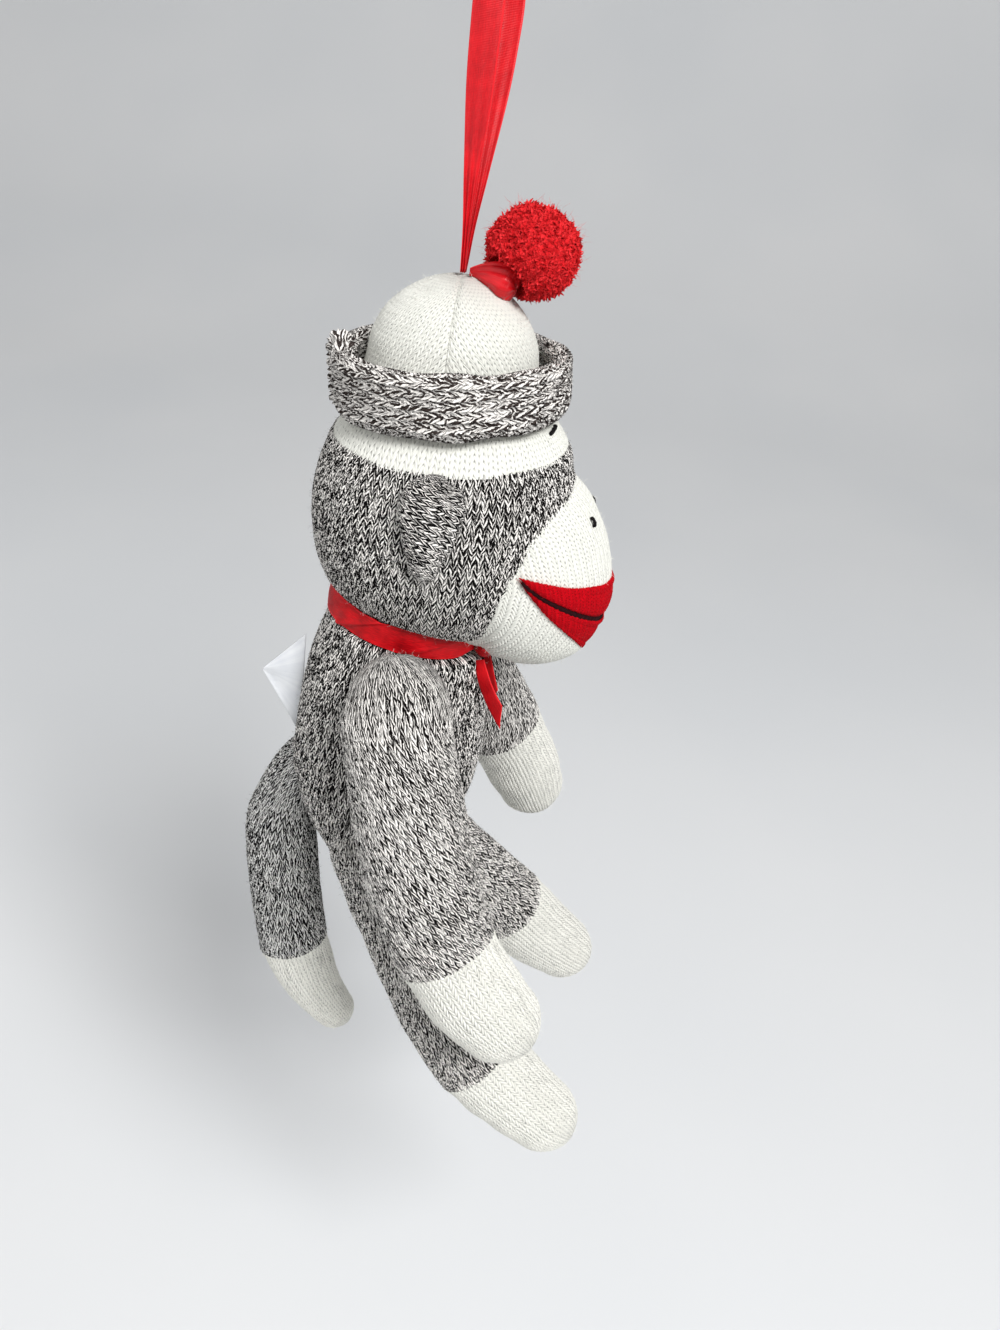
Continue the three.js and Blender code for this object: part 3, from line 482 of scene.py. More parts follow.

# %% [markdown]
# A knit finish repeats the stitch formula with nodes. A little noise moves each place by a share of
# a stitch first, so that no two stitches are quite alike. `dots` makes the stitches of a fine knit
# rounder, so that the painted shade between them gathers into rows of dots.
# %% The stitch formula in a finish
def stitch_nodes(add, calc, stray, dots):
    parts = add("ShaderNodeSeparateXYZ", {0: add("ShaderNodeUVMap", uv_map="stitches").outputs[0]})
    drift = noise(add, position(add), 330.0)[1]
    drift = add("ShaderNodeSeparateXYZ", {0: drift}).outputs
    wale = calc("MULTIPLY_ADD", calc("SUBTRACT", drift[0], 0.5), 2 * stray, parts.outputs[0])
    course = calc("MULTIPLY_ADD", calc("SUBTRACT", drift[1], 0.5), 5 * stray, parts.outputs[1])
    across = calc("ABSOLUTE", calc("MULTIPLY_ADD", calc("FRACT", wale), 2.0, -1.0))
    phase = calc("MULTIPLY_ADD", across, SLANT, course)
    arch = calc("SINE", calc("MULTIPLY", calc("FRACT", phase), math.pi))
    strand = calc("POWER", calc("MAXIMUM", arch, 0.0), STRAND_ROUND)
    root = 0.0 if dots else LEG_ROOT
    bow = calc("SINE", calc("MULTIPLY", calc("MULTIPLY_ADD", across, 1 - root, root), math.pi))
    leg = calc("POWER", calc("MAXIMUM", bow, 0.0), LEG_ROUND)
    height = calc("MULTIPLY", leg, strand)
    if dots:
        both = calc("MULTIPLY", calc("MAXIMUM", leg, strand), dots)
        height = calc("MULTIPLY_ADD", height, 1 - dots, both)
    return wale, across, phase, drift[2], height


print("a leg climbs", SLANT, "courses in the finish too")

# %% [markdown]
# Marl yarn is two thin yarns twisted together, one cream and one almost black. Leg by leg, now one
# and now the other comes to the front, so the cloth looks speckled in short slanted strokes. Each
# column of legs has its own twist. The loose fibres get a plainer finish in the same colours.
# %% Two yarns in one, and loose fibres
def yarn_on_top(add, calc, wale, across, phase, drift, fine, chance, balance):
    """Goes from 0, the dark yarn, to 1, the light yarn."""
    leg_column = calc("FLOOR", calc("MULTIPLY", wale, 2.0))
    side = add("ShaderNodeTexWhiteNoise", {"W": leg_column}, noise_dimensions="1D").outputs[0]
    twist = calc("MULTIPLY_ADD", phase, 0.5, calc("MULTIPLY_ADD", across, 0.5, side))
    twist = calc("ADD", twist, calc("MULTIPLY", drift, 2.2))
    ply = calc("SINE", calc("MULTIPLY", twist, 2 * math.pi))
    ply = calc("MULTIPLY_ADD", calc("SUBTRACT", fine, 0.5), 2.2, ply)
    ply = calc("MULTIPLY_ADD", calc("SUBTRACT", chance, 0.5), 1.7, ply)
    return spread(add, ply, balance - 0.05, balance + 0.05, interpolation_type="SMOOTHSTEP")


def fibre_colours(name, one, other):
    hair, add, _, blend, wear = new_finish(name + "_fibre")
    share = spread(add, noise(add, position(add), 900.0, 1.0)[0], 0.4, 0.6)
    wear(Base_Color=blend(share, one, other), Roughness=0.8, Specular_IOR_Level=0.2,
         Sheen_Weight=0.2)
    return hair


fibre_finish = {}
print("the yarns change places every leg")

# %% [markdown]
# The last helper puts these together. The gaps between stitches are darkened with painted shade,
# each stitch differs a little from the next, and fine hairs run along each leg. `balance` above
# zero lets more of the dark yarn show, `gap` is the brightness that the painted shade leaves in the
# gaps, and `stray` is how far stitches wander.
# %% Knit finishes
def knit_finish(name, light, dark=None, balance=0.0, gap=0.3, fibre=None, speck=0.25, stray=0.2,
                dots=0.0, sheen=0.0):
    finish, add, calc, blend, wear = new_finish(name)
    wale, across, phase, drift, height = stitch_nodes(add, calc, stray, dots)
    # painted shade: the gaps between stitches darken down to the brightness `gap`
    shade = spread(add, height, 0.12, 0.65, gap, 1.0)
    leg_place = {0: calc("FLOOR", calc("MULTIPLY", wale, 2.0)), 1: calc("FLOOR", phase)}
    leg_mark = add("ShaderNodeCombineXYZ", leg_place).outputs[0]
    luck = add("ShaderNodeTexWhiteNoise", {"Vector": leg_mark}, noise_dimensions="2D").outputs[0]
    chance = calc("FRACT", calc("MULTIPLY", luck, 7.3))
    hair_place = {0: calc("MULTIPLY", wale, 2.5), 1: calc("MULTIPLY", phase, 5.0),
                  2: calc("MULTIPLY", luck, 40.0)}
    fine = noise(add, add("ShaderNodeCombineXYZ", hair_place).outputs[0], 1.0)[0]
    paint = light
    if dark:
        share = yarn_on_top(add, calc, wale, across, phase, drift, fine, chance, balance)
        paint = blend(share, dark, light)
    else:
        # a plain knit's painted shade in the gaps is made deeper or fainter at random, leg by leg
        depth = calc("MULTIPLY", calc("SUBTRACT", 1.0, shade), calc("ADD", chance, 0.45))
        shade = calc("SUBTRACT", 1.0, depth)
    # painted shade times a little random mottle, laid over the yarn's colour
    tone = calc("MULTIPLY", shade, spread(add, fine, 0.25, 0.75, 1 - speck, 1 + speck / 2))
    grey = add("ShaderNodeCombineColor", {0: tone, 1: tone, 2: tone}).outputs[0]
    paint = blend(1.0, paint, grey, "MULTIPLY")
    bump = bumps(add, calc("MULTIPLY_ADD", fine, 0.5, height), 0.8, 0.0005)
    wear(Base_Color=paint, Roughness=0.9, Normal=bump, Sheen_Weight=sheen, Sheen_Roughness=0.5,
         Specular_IOR_Level=0.08)
    fibre_finish[finish.name] = fibre_colours(name, fibre or dark or light, light)
    return finish


# The arms and legs wear the lit copy of the marl. The body, head and tail copies let more of the
# dark yarn show, with a darker ink for body and head and a greyer cream for the tail: painted shade
# on the parts that lie in shade.
CREAM = colour(255, 251, 246)
INK, SOFT_INK = colour(8, 6, 6), colour(12, 8, 8)
marl = knit_finish("marl_knit", CREAM, SOFT_INK, balance=-0.16, gap=0.05, speck=0.1)
shaded_body_marl = knit_finish("body_marl_knit", CREAM, INK, balance=0.16, gap=0.05, speck=0.1)
shaded_head_marl = knit_finish("head_marl_knit", CREAM, INK, balance=0.12, gap=0.05, speck=0.1)
shaded_tail_marl = knit_finish("tail_marl_knit", colour(240, 239, 236), colour(14, 12, 13),
                        balance=-0.02, gap=0.1)
cuff_marl = knit_finish("cuff_marl_knit", CREAM, colour(62, 54, 51), balance=-0.15, gap=0.26,
                        stray=0.3)
white_knit = knit_finish("white_knit", colour(239, 239, 231), gap=0.28, speck=0.1, stray=0.12,
                         dots=0.6, sheen=0.1)
white_rib = knit_finish("white_rib_knit", colour(244, 243, 235), gap=0.46, speck=0.1, stray=0.16,
                        dots=0.25, sheen=0.1)
red_knit = knit_finish("red_knit", colour(200, 5, 22), gap=0.04, speck=0.45, stray=0.14,
                       fibre=colour(214, 30, 42), dots=0.85)
print("knit finishes:", ", ".join(fibre_finish))

# %% [markdown]
# Satin shines because its threads run mostly one way, so light streaks across them. The finish is
# smooth along the ribbon and finely ribbed across it, with small folds and a slightly paler edge
# where the ribbon's own border is woven tighter.
# %% Satin finishes
RIB_WIDTH = 0.35  # from one woven rib to the next


def satin_finish(name, main, deep, rough=0.34, gloss_level=0.35):
    finish, add, calc, blend, wear = new_finish(name)
    parts = add("ShaderNodeSeparateXYZ", {0: add("ShaderNodeUVMap", uv_map="stitches").outputs[0]})
    across, along = parts.outputs[0], parts.outputs[1]
    rib = calc("SINE", calc("MULTIPLY", along, 2 * math.pi / RIB_WIDTH))
    middle = calc("SUBTRACT", calc("MULTIPLY", calc("FRACT", across), 2.0), 1.0)
    border = spread(add, calc("ABSOLUTE", middle), 0.86, 0.93)
    cloud = noise(add, position(add), 160.0, 3.0)[0]
    slub_place = {0: calc("MULTIPLY", across, 60.0), 1: calc("MULTIPLY", along, 0.4)}
    slub = noise(add, add("ShaderNodeCombineXYZ", slub_place).outputs[0], 1.0)[0]
    base = blend(spread(add, calc("ADD", cloud, slub), 0.7, 1.35), deep, main)
    pale = tuple(min(1.0, value * 1.25 + 0.015) for value in main[:3]) + (1.0,)
    paint = blend(calc("MULTIPLY", border, 0.5), base, pale)
    rise = calc("MULTIPLY", rib, 0.5)
    relief = calc("ADD", rise, calc("ADD", slub, calc("MULTIPLY", border, 1.5)))
    bump = bumps(add, relief, 0.35, 0.0001)
    gloss = spread(add, slub, 0.2, 0.8, rough - 0.06, rough + 0.12)
    wear(Base_Color=paint, Roughness=gloss, Normal=bump, Anisotropic=0.6,
         Specular_IOR_Level=gloss_level)
    return finish


ribbon_satin = satin_finish("red_satin", colour(226, 18, 30), colour(172, 6, 18))
collar_satin = satin_finish("collar_satin", colour(232, 14, 26), colour(140, 2, 10), rough=0.46,
                            gloss_level=0.2)
label_satin = satin_finish("label_satin", colour(232, 234, 236), colour(214, 217, 222), rough=0.4)
print("satin finishes:", ", ".join(f.name for f in (ribbon_satin, collar_satin, label_satin)))

# %% [markdown]
# A ribbon is a thin strip along a route. Pleats gather it where it is narrow, and folds raise it
# where it is pulled. It has a front and a back, so that it is a closed piece like all the others.
# %% A satin ribbon
def slanted_end(sheet, along, lane, cut):
    """Draws the rows of a strip together, more on one side, so that its far end is cut slanting."""
    count, lanes = sheet.shape[:2]
    kept = 1 - cut * (lane + 0.5) / along[-1]
    at = np.linspace(0, 1, count)[:, None] * kept[None] * (count - 1)
    low = np.clip(at.astype(int), 0, count - 2)
    part = (at - low)[..., None]
    columns = np.arange(lanes)[None]
    return sheet[low, columns] * (1 - part) + sheet[low + 1, columns] * part


def ribbon(name, route, widths, across, pleats=0.0, thickness=0.3, lanes=16, folds=None, cut=0.0):
    """A satin strip; `folds` gives its rise at a place along and across it."""
    forward = unit(np.gradient(route, axis=0))
    across = np.broadcast_to(across, route.shape)
    across = unit(across - forward * (across * forward).sum(1, keepdims=True))
    face = np.cross(forward, across)
    lane = np.linspace(-0.5, 0.5, lanes)
    along = travelled(route)
    squeeze = 1 - widths / widths.max()
    fold = pleats * squeeze[:, None] * np.sin(lane * 2 * np.pi * 2.5 + 0.5)[None]
    out = fold + 0.04 * widths[:, None] * np.cos(lane * np.pi)[None]
    if folds is not None:
        out = out + folds(*np.meshgrid(along, lane, indexing="ij"))
    sheet = route[:, None] + across[:, None] * (widths[:, None] * lane)[..., None]
    sheet = sheet + face[:, None] * out[..., None]
    if cut:
        sheet = slanted_end(sheet, along, lane, cut)
    front = sheet + face[:, None] * thickness / 2
    back = sheet - face[:, None] * thickness / 2
    points = np.concatenate([front, back[:, ::-1]], 1)
    mark = np.clip(np.concatenate([lane + 0.5, (lane + 0.5)[::-1], lane[:1] + 0.5]), 0.001, 0.999)
    return net_mesh(name, points, even_marks(mark, along), capped=(True, True))


def from_tip(points):
    return np.array(points, float) + [0, 0, HAT_TIP]


print("the hat's tip lies at", from_tip((0, 0, 0)), "mm")

# %% [markdown]
# The loop is one length of narrow satin ribbon, doubled over a hook and sewn to the hat's tip. It
# is gathered into small pleats at the stitches and spreads to its full width further up. Its route
# repeats the chosen points of the model, from the sewn foot up, over the top and down again.
# %% The hanging ribbon loop
LOOP_HEIGHT = 78.4
RIBBON_WIDTH = 7.5
LOOP_POINTS = 150
LOOP_ROUTE = [
    (-0.01, 0.001, 0.009), (-0.012, 0.002, 0.05), (-0.018, 0.004, 0.15), (-0.03, 0.007, 0.31),
    (-0.043, 0.007, 0.49), (-0.056, 0.008, 0.67), (-0.064, 0.007, 0.82), (-0.063, 0.006, 0.91),
    (-0.04, 0.003, 0.977), (0, 0, 1), (0.04, -0.014, 0.977), (0.063, -0.033, 0.91),
    (0.064, -0.044, 0.82), (0.056, -0.042, 0.67), (0.043, -0.032, 0.49), (0.03, -0.021, 0.31),
    (0.018, -0.01, 0.15), (0.012, -0.004, 0.05), (0.01, -0.001, 0.009),
]
LOOP_SPREAD = [(0, 0.18), (0.06, 0.24), (0.15, 0.5), (0.27, 0.9), (0.36, 1), (0.64, 1),
               (0.73, 0.9), (0.85, 0.5), (0.94, 0.24), (1, 0.18)]
loop_route = from_tip(smooth_route(np.array(LOOP_ROUTE) * LOOP_HEIGHT, LOOP_POINTS))
loop_widths = RIBBON_WIDTH * smooth(LOOP_SPREAD)(np.linspace(0, 1, LOOP_POINTS))
loop = ribbon("satin_loop", loop_route, loop_widths, (0, 1, 0), pleats=0.55)
dress(loop, "loop", "hanging_loop", finish=ribbon_satin)

# %% [markdown]
# Arms, legs and tail are knitted tubes, closed and rounded at the end and firmly filled. Each is
# a round section carried along a bent centre line. The first helper draws that line from headings
# measured off the plumb line, and the second lays a net of points round it, with rounded ends.
# %% Stuffed tubes
EAST = np.array([1.0, 0, 0])
LINE_STEPS = 240
ROUND_OVER = 0.985  # share of a rounded end that is drawn, so that it stops short of a point


def limb_line(start, length, headings, splay):
    heading = np.radians(smooth(headings)((np.arange(LINE_STEPS) + 0.5) / LINE_STEPS))
    side = math.radians(splay)
    steps = np.stack([np.full(LINE_STEPS, math.sin(side)), -math.cos(side) * np.sin(heading),
                      -math.cos(side) * np.cos(heading)], 1)
    return np.vstack([start, start + np.cumsum(steps, 0) * length / LINE_STEPS])


def rings(across, out, cols, flat=1.0):
    around = full_turn(cols)[None, :, None]
    return across[:, None] * np.cos(around) * flat + out[:, None] * np.sin(around)


def tube_net(line, radius, first, last, rows, cols, flat=1.0, dome=1.0):
    """Points round a line from place `first` to `last`; places past its ends round over."""
    length = steps_of(line).sum()
    cap_start, cap_end = radius(0.0) * math.pi / 2, radius(1.0) * math.pi / 2
    places = np.linspace(max(first, -cap_start * ROUND_OVER),
                         min(last, length + cap_end * ROUND_OVER), rows)
    share = np.clip(places / length, 0, 1)
    angle = np.where(places > length, math.pi / 2 * (1 - (places - length) / cap_end), math.pi / 2)
    angle = np.where(places < 0, math.pi / 2 * (1 + places / cap_start), angle)
    past = np.cos(angle) * np.where(places < 0, -1, 1) * dome
    at = share * (len(line) - 1)
    low = np.clip(at.astype(int), 0, len(line) - 2)
    further = (at - low)[:, None]
    centre = line[low] + (line[low + 1] - line[low]) * further
    tangents = unit(np.gradient(line, axis=0))
    forward = unit(tangents[low] + (tangents[low + 1] - tangents[low]) * further)
    across = unit(EAST - forward * (forward @ EAST)[:, None])
    reach = radius(share)
    ring = rings(across, np.cross(forward, across), cols, flat)
    ring = ring * (reach * np.sin(angle))[:, None, None]
    return centre[:, None] + ring + (forward * (past * reach)[:, None])[:, None]


straight = limb_line((0, 0, 0), 10, [(0, 0), (1, 0)], 0)
print("a straight limb 10 mm long ends at height", round(float(straight[-1, 2]), 3))

# %% [markdown]
# A limb is knitted in two colours. The marl part and the white part share one centre line and one
# thickness, so they meet without a step. The white end is ribbed, so its wales are broader.
# %% Both colours of a limb
MARL_WALE, MARL_COURSE = 2.1, 1.65
WHITE_WALE, WHITE_COURSE = 3.2, 1.6
WHOLE_START, WHOLE_END = -99.0, 999.0  # past either end of any limb, so that the tube closes there
SEAM_OVERLAP = 0.8
SCALLOP_ROWS = 4


def scallop(net, wales, end):
    """Draws the stitches of an edge out into small points and lifts them over the next colour."""
    point = 0.55 * (1 - np.abs(np.sin(wales * full_turn(net.shape[1]) / 2))) ** 0.8
    share = np.linspace(0, 1, SCALLOP_ROWS)[:, None, None]
    if end < 0:
        rows, way = slice(-SCALLOP_ROWS, None), unit(net[-1] - net[-3])
    else:
        rows, way, share = slice(0, SCALLOP_ROWS), unit(net[0] - net[2]), share[::-1]
    lift = net_normals(net)[rows] * 0.25
    net = net.copy()
    net[rows] += share * (way * point[:, None])[None] + share * lift
    return net


def knit_limb(names, line, radius, change, body, seed, bend, shape=None, lean=0.0, yarn=marl):
    """A limb in two colours that meet at `change`; the places in `bend` are not used."""
    length = steps_of(line).sum()
    widest = max(radius(share) for share in np.linspace(0, 1, 9))
    for (name, node), finish, first, last, wale, course, fineness in (
        (names[0], yarn, WHOLE_START, change, MARL_WALE, MARL_COURSE, (WALE_COLUMNS, COURSE_ROWS)),
        (names[1], white_rib, change - SEAM_OVERLAP, WHOLE_END, WHITE_WALE, WHITE_COURSE, (10, 5)),
    ):
        marled = finish is yarn
        wales = round(2 * math.pi * widest / wale)
        start = max(first, -radius(0.0) * math.pi / 2)
        end = min(last, length + radius(1.0) * math.pi / 2)
        courses = round((end - start) / course)
        net = tube_net(line, radius, first, last, courses * fineness[1] + 1, wales * fineness[0])
        net = stuffed(lumps(shape(net) if shape else net, 0.45, 11, seed))
        if marled:
            net = scallop(net, wales, -1)
        piece = knitted(name, net, wales, courses, finish, relief=0.42 if marled else 0.5,
                        capped=(marled, not marled), seed=seed, fuzz=0.35, fuzz_length=1.7,
                        lean=lean if marled else 0.0)
        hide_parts(node)
        if marled:
            tuple(np.array(bend[0]) * MM)
            tuple(np.array(bend[1]) * MM)
            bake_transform(piece)
        else:
            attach(piece, body)


print("a marl wale is", MARL_WALE, "mm wide, a white one", WHITE_WALE, "mm")

# %% [markdown]
# The arms are sewn to the sides of the body and hang forward, the right one straighter than the
# left. Their inner side is pressed flat where it lies against the body.
# %% Arms
ARM_LENGTH, ARM_RADIUS = 97.0, 15.8
ARM_PROFILE = smooth([(0, 0.96), (0.2, 1), (0.5, 1.02), (0.75, 0.92), (0.9, 0.9), (1, 0.8)])
FLANK = 27.5  # from the middle of the body to the inner side of an arm
SHOULDER_BACK, SHOULDER_DROP = 1.5, 112.5
HEADINGS = {
    "arm_right": [(0, 13), (0.25, 15), (0.5, 20), (0.75, 34), (1, 52)],
    "arm_left": [(0, 26), (0.3, 30), (0.6, 30), (1, 22)],
    "leg_right": [(0, 24), (0.2, 26), (0.4, 27), (0.6, 35), (0.8, 50), (1, 58)],
    "leg_left": [(0, 27), (0.25, 38), (0.5, 42), (0.75, 41), (1, 48)],
    "tail": [(0, -40), (0.12, -18), (0.3, 4), (0.55, 9), (0.8, 24), (1, 42)],
}


def press_flat(limit, side, seam):
    """Flattens the side against the body and thins the top, which ends in a sewn line."""
    def shape(net):
        beyond = 0.35 * np.logaddexp(0, (net[..., 0] * side - limit) / 0.35)
        near_seam = np.clip((net[..., 2] - seam) / 15, 0, 1)
        thin = 1 - 0.72 * near_seam ** 2 * (3 - 2 * near_seam)
        net = net.copy()
        net[..., 0] = side * (limit - 1.6 * near_seam ** 2 + beyond * thin)
        return net

    return shape


for word, side, splay, paw in (("right", -1, -8, 27), ("left", 1, 19, 36)):
    shoulder = from_tip((side * (FLANK + 0.86 * ARM_RADIUS), SHOULDER_BACK, -SHOULDER_DROP))
    line = limb_line(shoulder, ARM_LENGTH, HEADINGS[f"arm_{word}"], splay)
    knit_limb(((f"sleeve_{word}", f"arm_{word}"), (f"paw_end_{word}", f"paw_{word}")), line,
              lambda share: ARM_RADIUS * ARM_PROFILE(share), ARM_LENGTH - paw, f"arm_{word}",
              11 + side, (shoulder + [0, 0, 6], line[55]),
              shape=press_flat(FLANK + 0.3, side, shoulder[2] - 1), lean=-0.4 * side)

# %% [markdown]
# The legs swell where they leave the body and swing forward to the feet, as they do when the doll
# hangs. The left leg is raised a little more and turned out.
# %% Legs
LEG_LENGTH, LEG_RADIUS = 113.0, 14.8
LEG_PROFILE = smooth([(0, 1), (0.25, 1), (0.6, 1), (0.8, 0.98), (1, 0.84)])


def hip_place(side):
    return from_tip((side * (LEG_RADIUS + 2.2), 5, -172))


for word, side, splay, foot in (("right", -1, -5, 31), ("left", 1, 18, 37)):
    hip = hip_place(side)
    line = limb_line(hip, LEG_LENGTH, HEADINGS[f"leg_{word}"], splay)
    knit_limb(((f"shin_{word}", f"leg_{word}"), (f"foot_end_{word}", f"foot_{word}")), line,
              lambda share: LEG_RADIUS * LEG_PROFILE(share), LEG_LENGTH - foot, f"leg_{word}",
              21 + side, (hip, line[60]))

# %% [markdown]
# The tail is thinner than the legs, sewn low on the back, and hangs in a long curve.
# %% Tail
TAIL_LENGTH, TAIL_RADIUS = 105.0, 11.9
TAIL_PROFILE = smooth([(0, 0.86), (0.08, 0.855), (0.25, 0.98), (0.5, 1), (0.75, 0.92), (0.9, 0.78),
                       (1, 0.62)])
tail_root = from_tip((0, 31.5, -155))
line = limb_line(tail_root, TAIL_LENGTH, HEADINGS["tail"], 0)
knit_limb((("tail_tube", "tail"), ("tail_end", "tail_tip")), line,
          lambda share: TAIL_RADIUS * TAIL_PROFILE(share), TAIL_LENGTH - 33, "tail",
          31, (tail_root, line[45]), yarn=shaded_tail_marl)

# %% [markdown]
# The neck is where the collar ties the body off, on a plane that slopes down to the front. The
# torso's top is gathered under the collar, so its cloth swells out just below it.
# %% Neck
def tilted_up(back, right):
    back, right = math.radians(-back), math.radians(-right)
    return np.array([math.sin(right) * math.cos(back), -math.sin(back),
                     math.cos(right) * math.cos(back)])


NECK_DROP = 91.5
NECK_POINT, NECK_UP = from_tip((0, 4.5, -NECK_DROP)), tilted_up(-9.5, 0)
NECK_NORTH = np.cross(NECK_UP, EAST)


def at_neck(around, radius, rise):
    around, radius, rise = (np.asarray(v, float)[..., None] for v in (around, radius, rise))
    flat = np.cos(around) * EAST + np.sin(around) * NECK_NORTH
    return NECK_POINT + flat * radius + NECK_UP * rise


def over_neck(points):
    return (points - NECK_POINT) @ NECK_UP


print("the neck leans", round(math.degrees(math.acos(NECK_UP[2])), 1), "degrees")

# %% [markdown]
# Where a limb is sewn to the body, the body gives way. This helper hollows a net round a ball, so
# that the limb sits in a dent of its own shape.
# %% Hollows for the limbs
def carve(points, centre, radius, toward):
    """Moves what lies inside a ball out of it, on the side that faces the given place."""
    aim = unit(np.array(toward, float) - points)
    away = points - centre
    inward = (away * aim).sum(-1)
    room = inward ** 2 - (away ** 2).sum(-1) + radius ** 2
    step = np.where((away ** 2).sum(-1) < radius ** 2, -inward + np.sqrt(np.maximum(room, 0)), 0)
    return points + aim * step[..., None]


moved = carve(np.array([[1.0, 0, 0]]), np.zeros(3), 5, (9, 0, 0))
print("a place 1 mm off the middle of a ball of radius 5 moves to", moved[0])

# %% [markdown]
# The body is one barrel of the same marl tube, widest at the belly and rounded under the seat. Its
# wales run straight down. The legs and the tail are sewn on so closely that each sits in a hollow.
# %% Torso
TORSO_LENGTH, TORSO_DEPTH, TORSO_WIDTH = 95.0, 57.0, 55.0
SEAT_CURVE = 0.043  # how far the seat bulges below the torso's length, as a share of it
TORSO_TABLE = np.array([  # place down the torso, share of its depth and width, and how far back
    (0, 0.78, 0.9, 0.075), (0.17, 0.92, 0.99, 0.096), (0.44, 1, 1, 0.123),
    (0.64, 0.965, 0.99, 0.132), (0.81, 0.76, 0.88, 0.14), (0.9, 0.56, 0.7, 0.149),
    (1, 0.26, 0.4, 0.16),
])
TIED_RADIUS, TIED_BELOW = 22.3, 8.2  # the collar's hold, and how far below the neck it ends
BODY_MIDDLE = from_tip((0, 8, -150))
torso_deep, torso_wide, torso_back = (smooth(TORSO_TABLE[:, [0, k]]) for k in (1, 2, 3))


def tie_in(net):
    """Draws the top of the body in under the collar; below it the cloth swells out again."""
    rise = over_neck(net)
    flat = net - NECK_POINT - rise[..., None] * NECK_UP
    reach = np.linalg.norm(flat, axis=-1)
    belly = 9.0 * np.sqrt(np.clip(1 - np.exp((rise + TIED_BELOW) / 3.0), 0, 1))
    limit = TIED_RADIUS + np.where(rise < -TIED_BELOW, belly, 0)
    tied = -np.logaddexp(-reach / 0.8, -limit / 0.8) * 0.8
    new_reach = (np.where(rise > -30, tied, reach) / reach)[..., None]
    return NECK_POINT + rise[..., None] * NECK_UP + flat * new_reach


def torso_net(rows, cols):
    around = full_turn(cols)
    top = at_neck(-around, 22.0, -0.5)[:, 2]
    bottom = HAT_TIP - NECK_DROP - (1 + SEAT_CURVE) * TORSO_LENGTH
    height = top + (bottom - top) * np.linspace(0, 1, rows)[:, None]
    share = (HAT_TIP - NECK_DROP - height) / TORSO_LENGTH
    close = np.sqrt(np.clip(1 - ((share - 1) / SEAT_CURVE).clip(0) ** 2, 0.0004, 1))
    x = TORSO_WIDTH / 2 * torso_wide(share) * close * np.cos(around)
    half_deep = TORSO_DEPTH / 2 * torso_deep(share)
    y = torso_back(share) * TORSO_DEPTH - half_deep * close * np.sin(around)
    net = tie_in(np.stack([x, y, height], -1))
    for side in (-1, 1):
        net = carve(net, hip_place(side), LEG_RADIUS + 0.3, BODY_MIDDLE)
    return carve(net, tail_root, TAIL_RADIUS * 0.86 + 0.3, BODY_MIDDLE)


torso_wales, torso_courses = 82, 60
net = torso_net(torso_courses * COURSE_ROWS + 1, torso_wales * WALE_COLUMNS)
below_collar = np.clip((-9 - over_neck(net)) / 6, 0, 1)
net = net + (stuffed(lumps(net, 0.5, 15, 41), most=0.6) - net) * below_collar[..., None]
torso = knitted("body_knit", net, torso_wales, torso_courses, shaded_body_marl, relief=0.42, fuzz=0.3,
                capped=(True, True), seed=41)
dress(torso, "torso", "torso")

# %% [markdown]
# The head and the muzzle are eggs. The muzzle's egg is slanted, so that its top lies further back
# and the face slopes. A place on an egg is found from a place on a ball of radius one.
# %% Eggs
HEAD_EGG = (np.array([69.0, 76.2, 84.2]), from_tip((0, -2.75, -64.1)), 0.0)
MUZZLE_EGG = (np.array([58.0, 67.8, 77.0]), from_tip((0, -15.9, -67.3)), math.tan(math.radians(20)))


def on_egg(egg, shell, lift=0.0):
    size, centre, slant = egg
    spot, away = shell * size / 2, shell / size
    spot[..., 1] += spot[..., 2] * slant
    away[..., 2] -= slant * away[..., 1]
    return centre + spot + unit(away) * np.asarray(lift)[..., None]


def shell_at(egg, drop, angle):
    rise = (HAT_TIP - np.asarray(drop, float) - egg[1][2]) / (egg[0][2] / 2)
    ring = np.sqrt(np.clip(1 - rise * rise, 0, 1))
    return np.stack([-np.sin(angle) * ring, -np.cos(angle) * ring, rise], -1)


def globe(polar, around):
    """Places on a ball of radius one, by their angle from the top and their angle round it."""
    return np.stack([np.sin(polar) * np.cos(around), -np.sin(polar) * np.sin(around),
                     np.cos(polar) + 0 * around], -1)


def egg_net(egg, top, bottom, rows, cols):
    around = full_turn(cols)
    top = top(around) if callable(top) else np.full(cols, top)
    bottom = bottom(around) if callable(bottom) else np.full(cols, bottom)
    return on_egg(egg, globe(top + (bottom - top) * np.linspace(0, 1, rows)[:, None], around))


print("the head is", HEAD_EGG[0], "mm and the muzzle", MUZZLE_EGG[0], "mm")

# %% [markdown]
# Three more helpers: how far a place lies outside an egg, where a sloping plane cuts one, and a dip
# along the seam where two pieces meet, since the thread pulls the cloth in there.
# %% Where eggs meet
def egg_gap(points, egg):
    size, centre, slant = egg
    inside = points - centre
    upright = inside[..., 1] - slant * inside[..., 2]
    inside = np.stack([inside[..., 0], upright, inside[..., 2]], -1) / (size / 2)
    reach = np.linalg.norm(inside, axis=-1)
    slope = np.linalg.norm(inside / (size / 2), axis=-1)
    return (reach - 1) * reach / np.maximum(slope, 1e-6)


def plane_angle(egg, point, normal, around):
    size, centre = egg[:2]
    side = normal[0] * size[0] / 2 * np.cos(around) - normal[1] * size[1] / 2 * np.sin(around)
    rise = normal[2] * size[2] / 2
    reach = np.hypot(side, rise)
    below = np.clip(-(normal @ (centre - point)) / reach, -1, 1)
    return np.arctan2(side, rise) + np.arccos(below)


def tuck(points, gap, depth, width):
    return swell(points, -depth * np.exp(-(gap / width) ** 2))


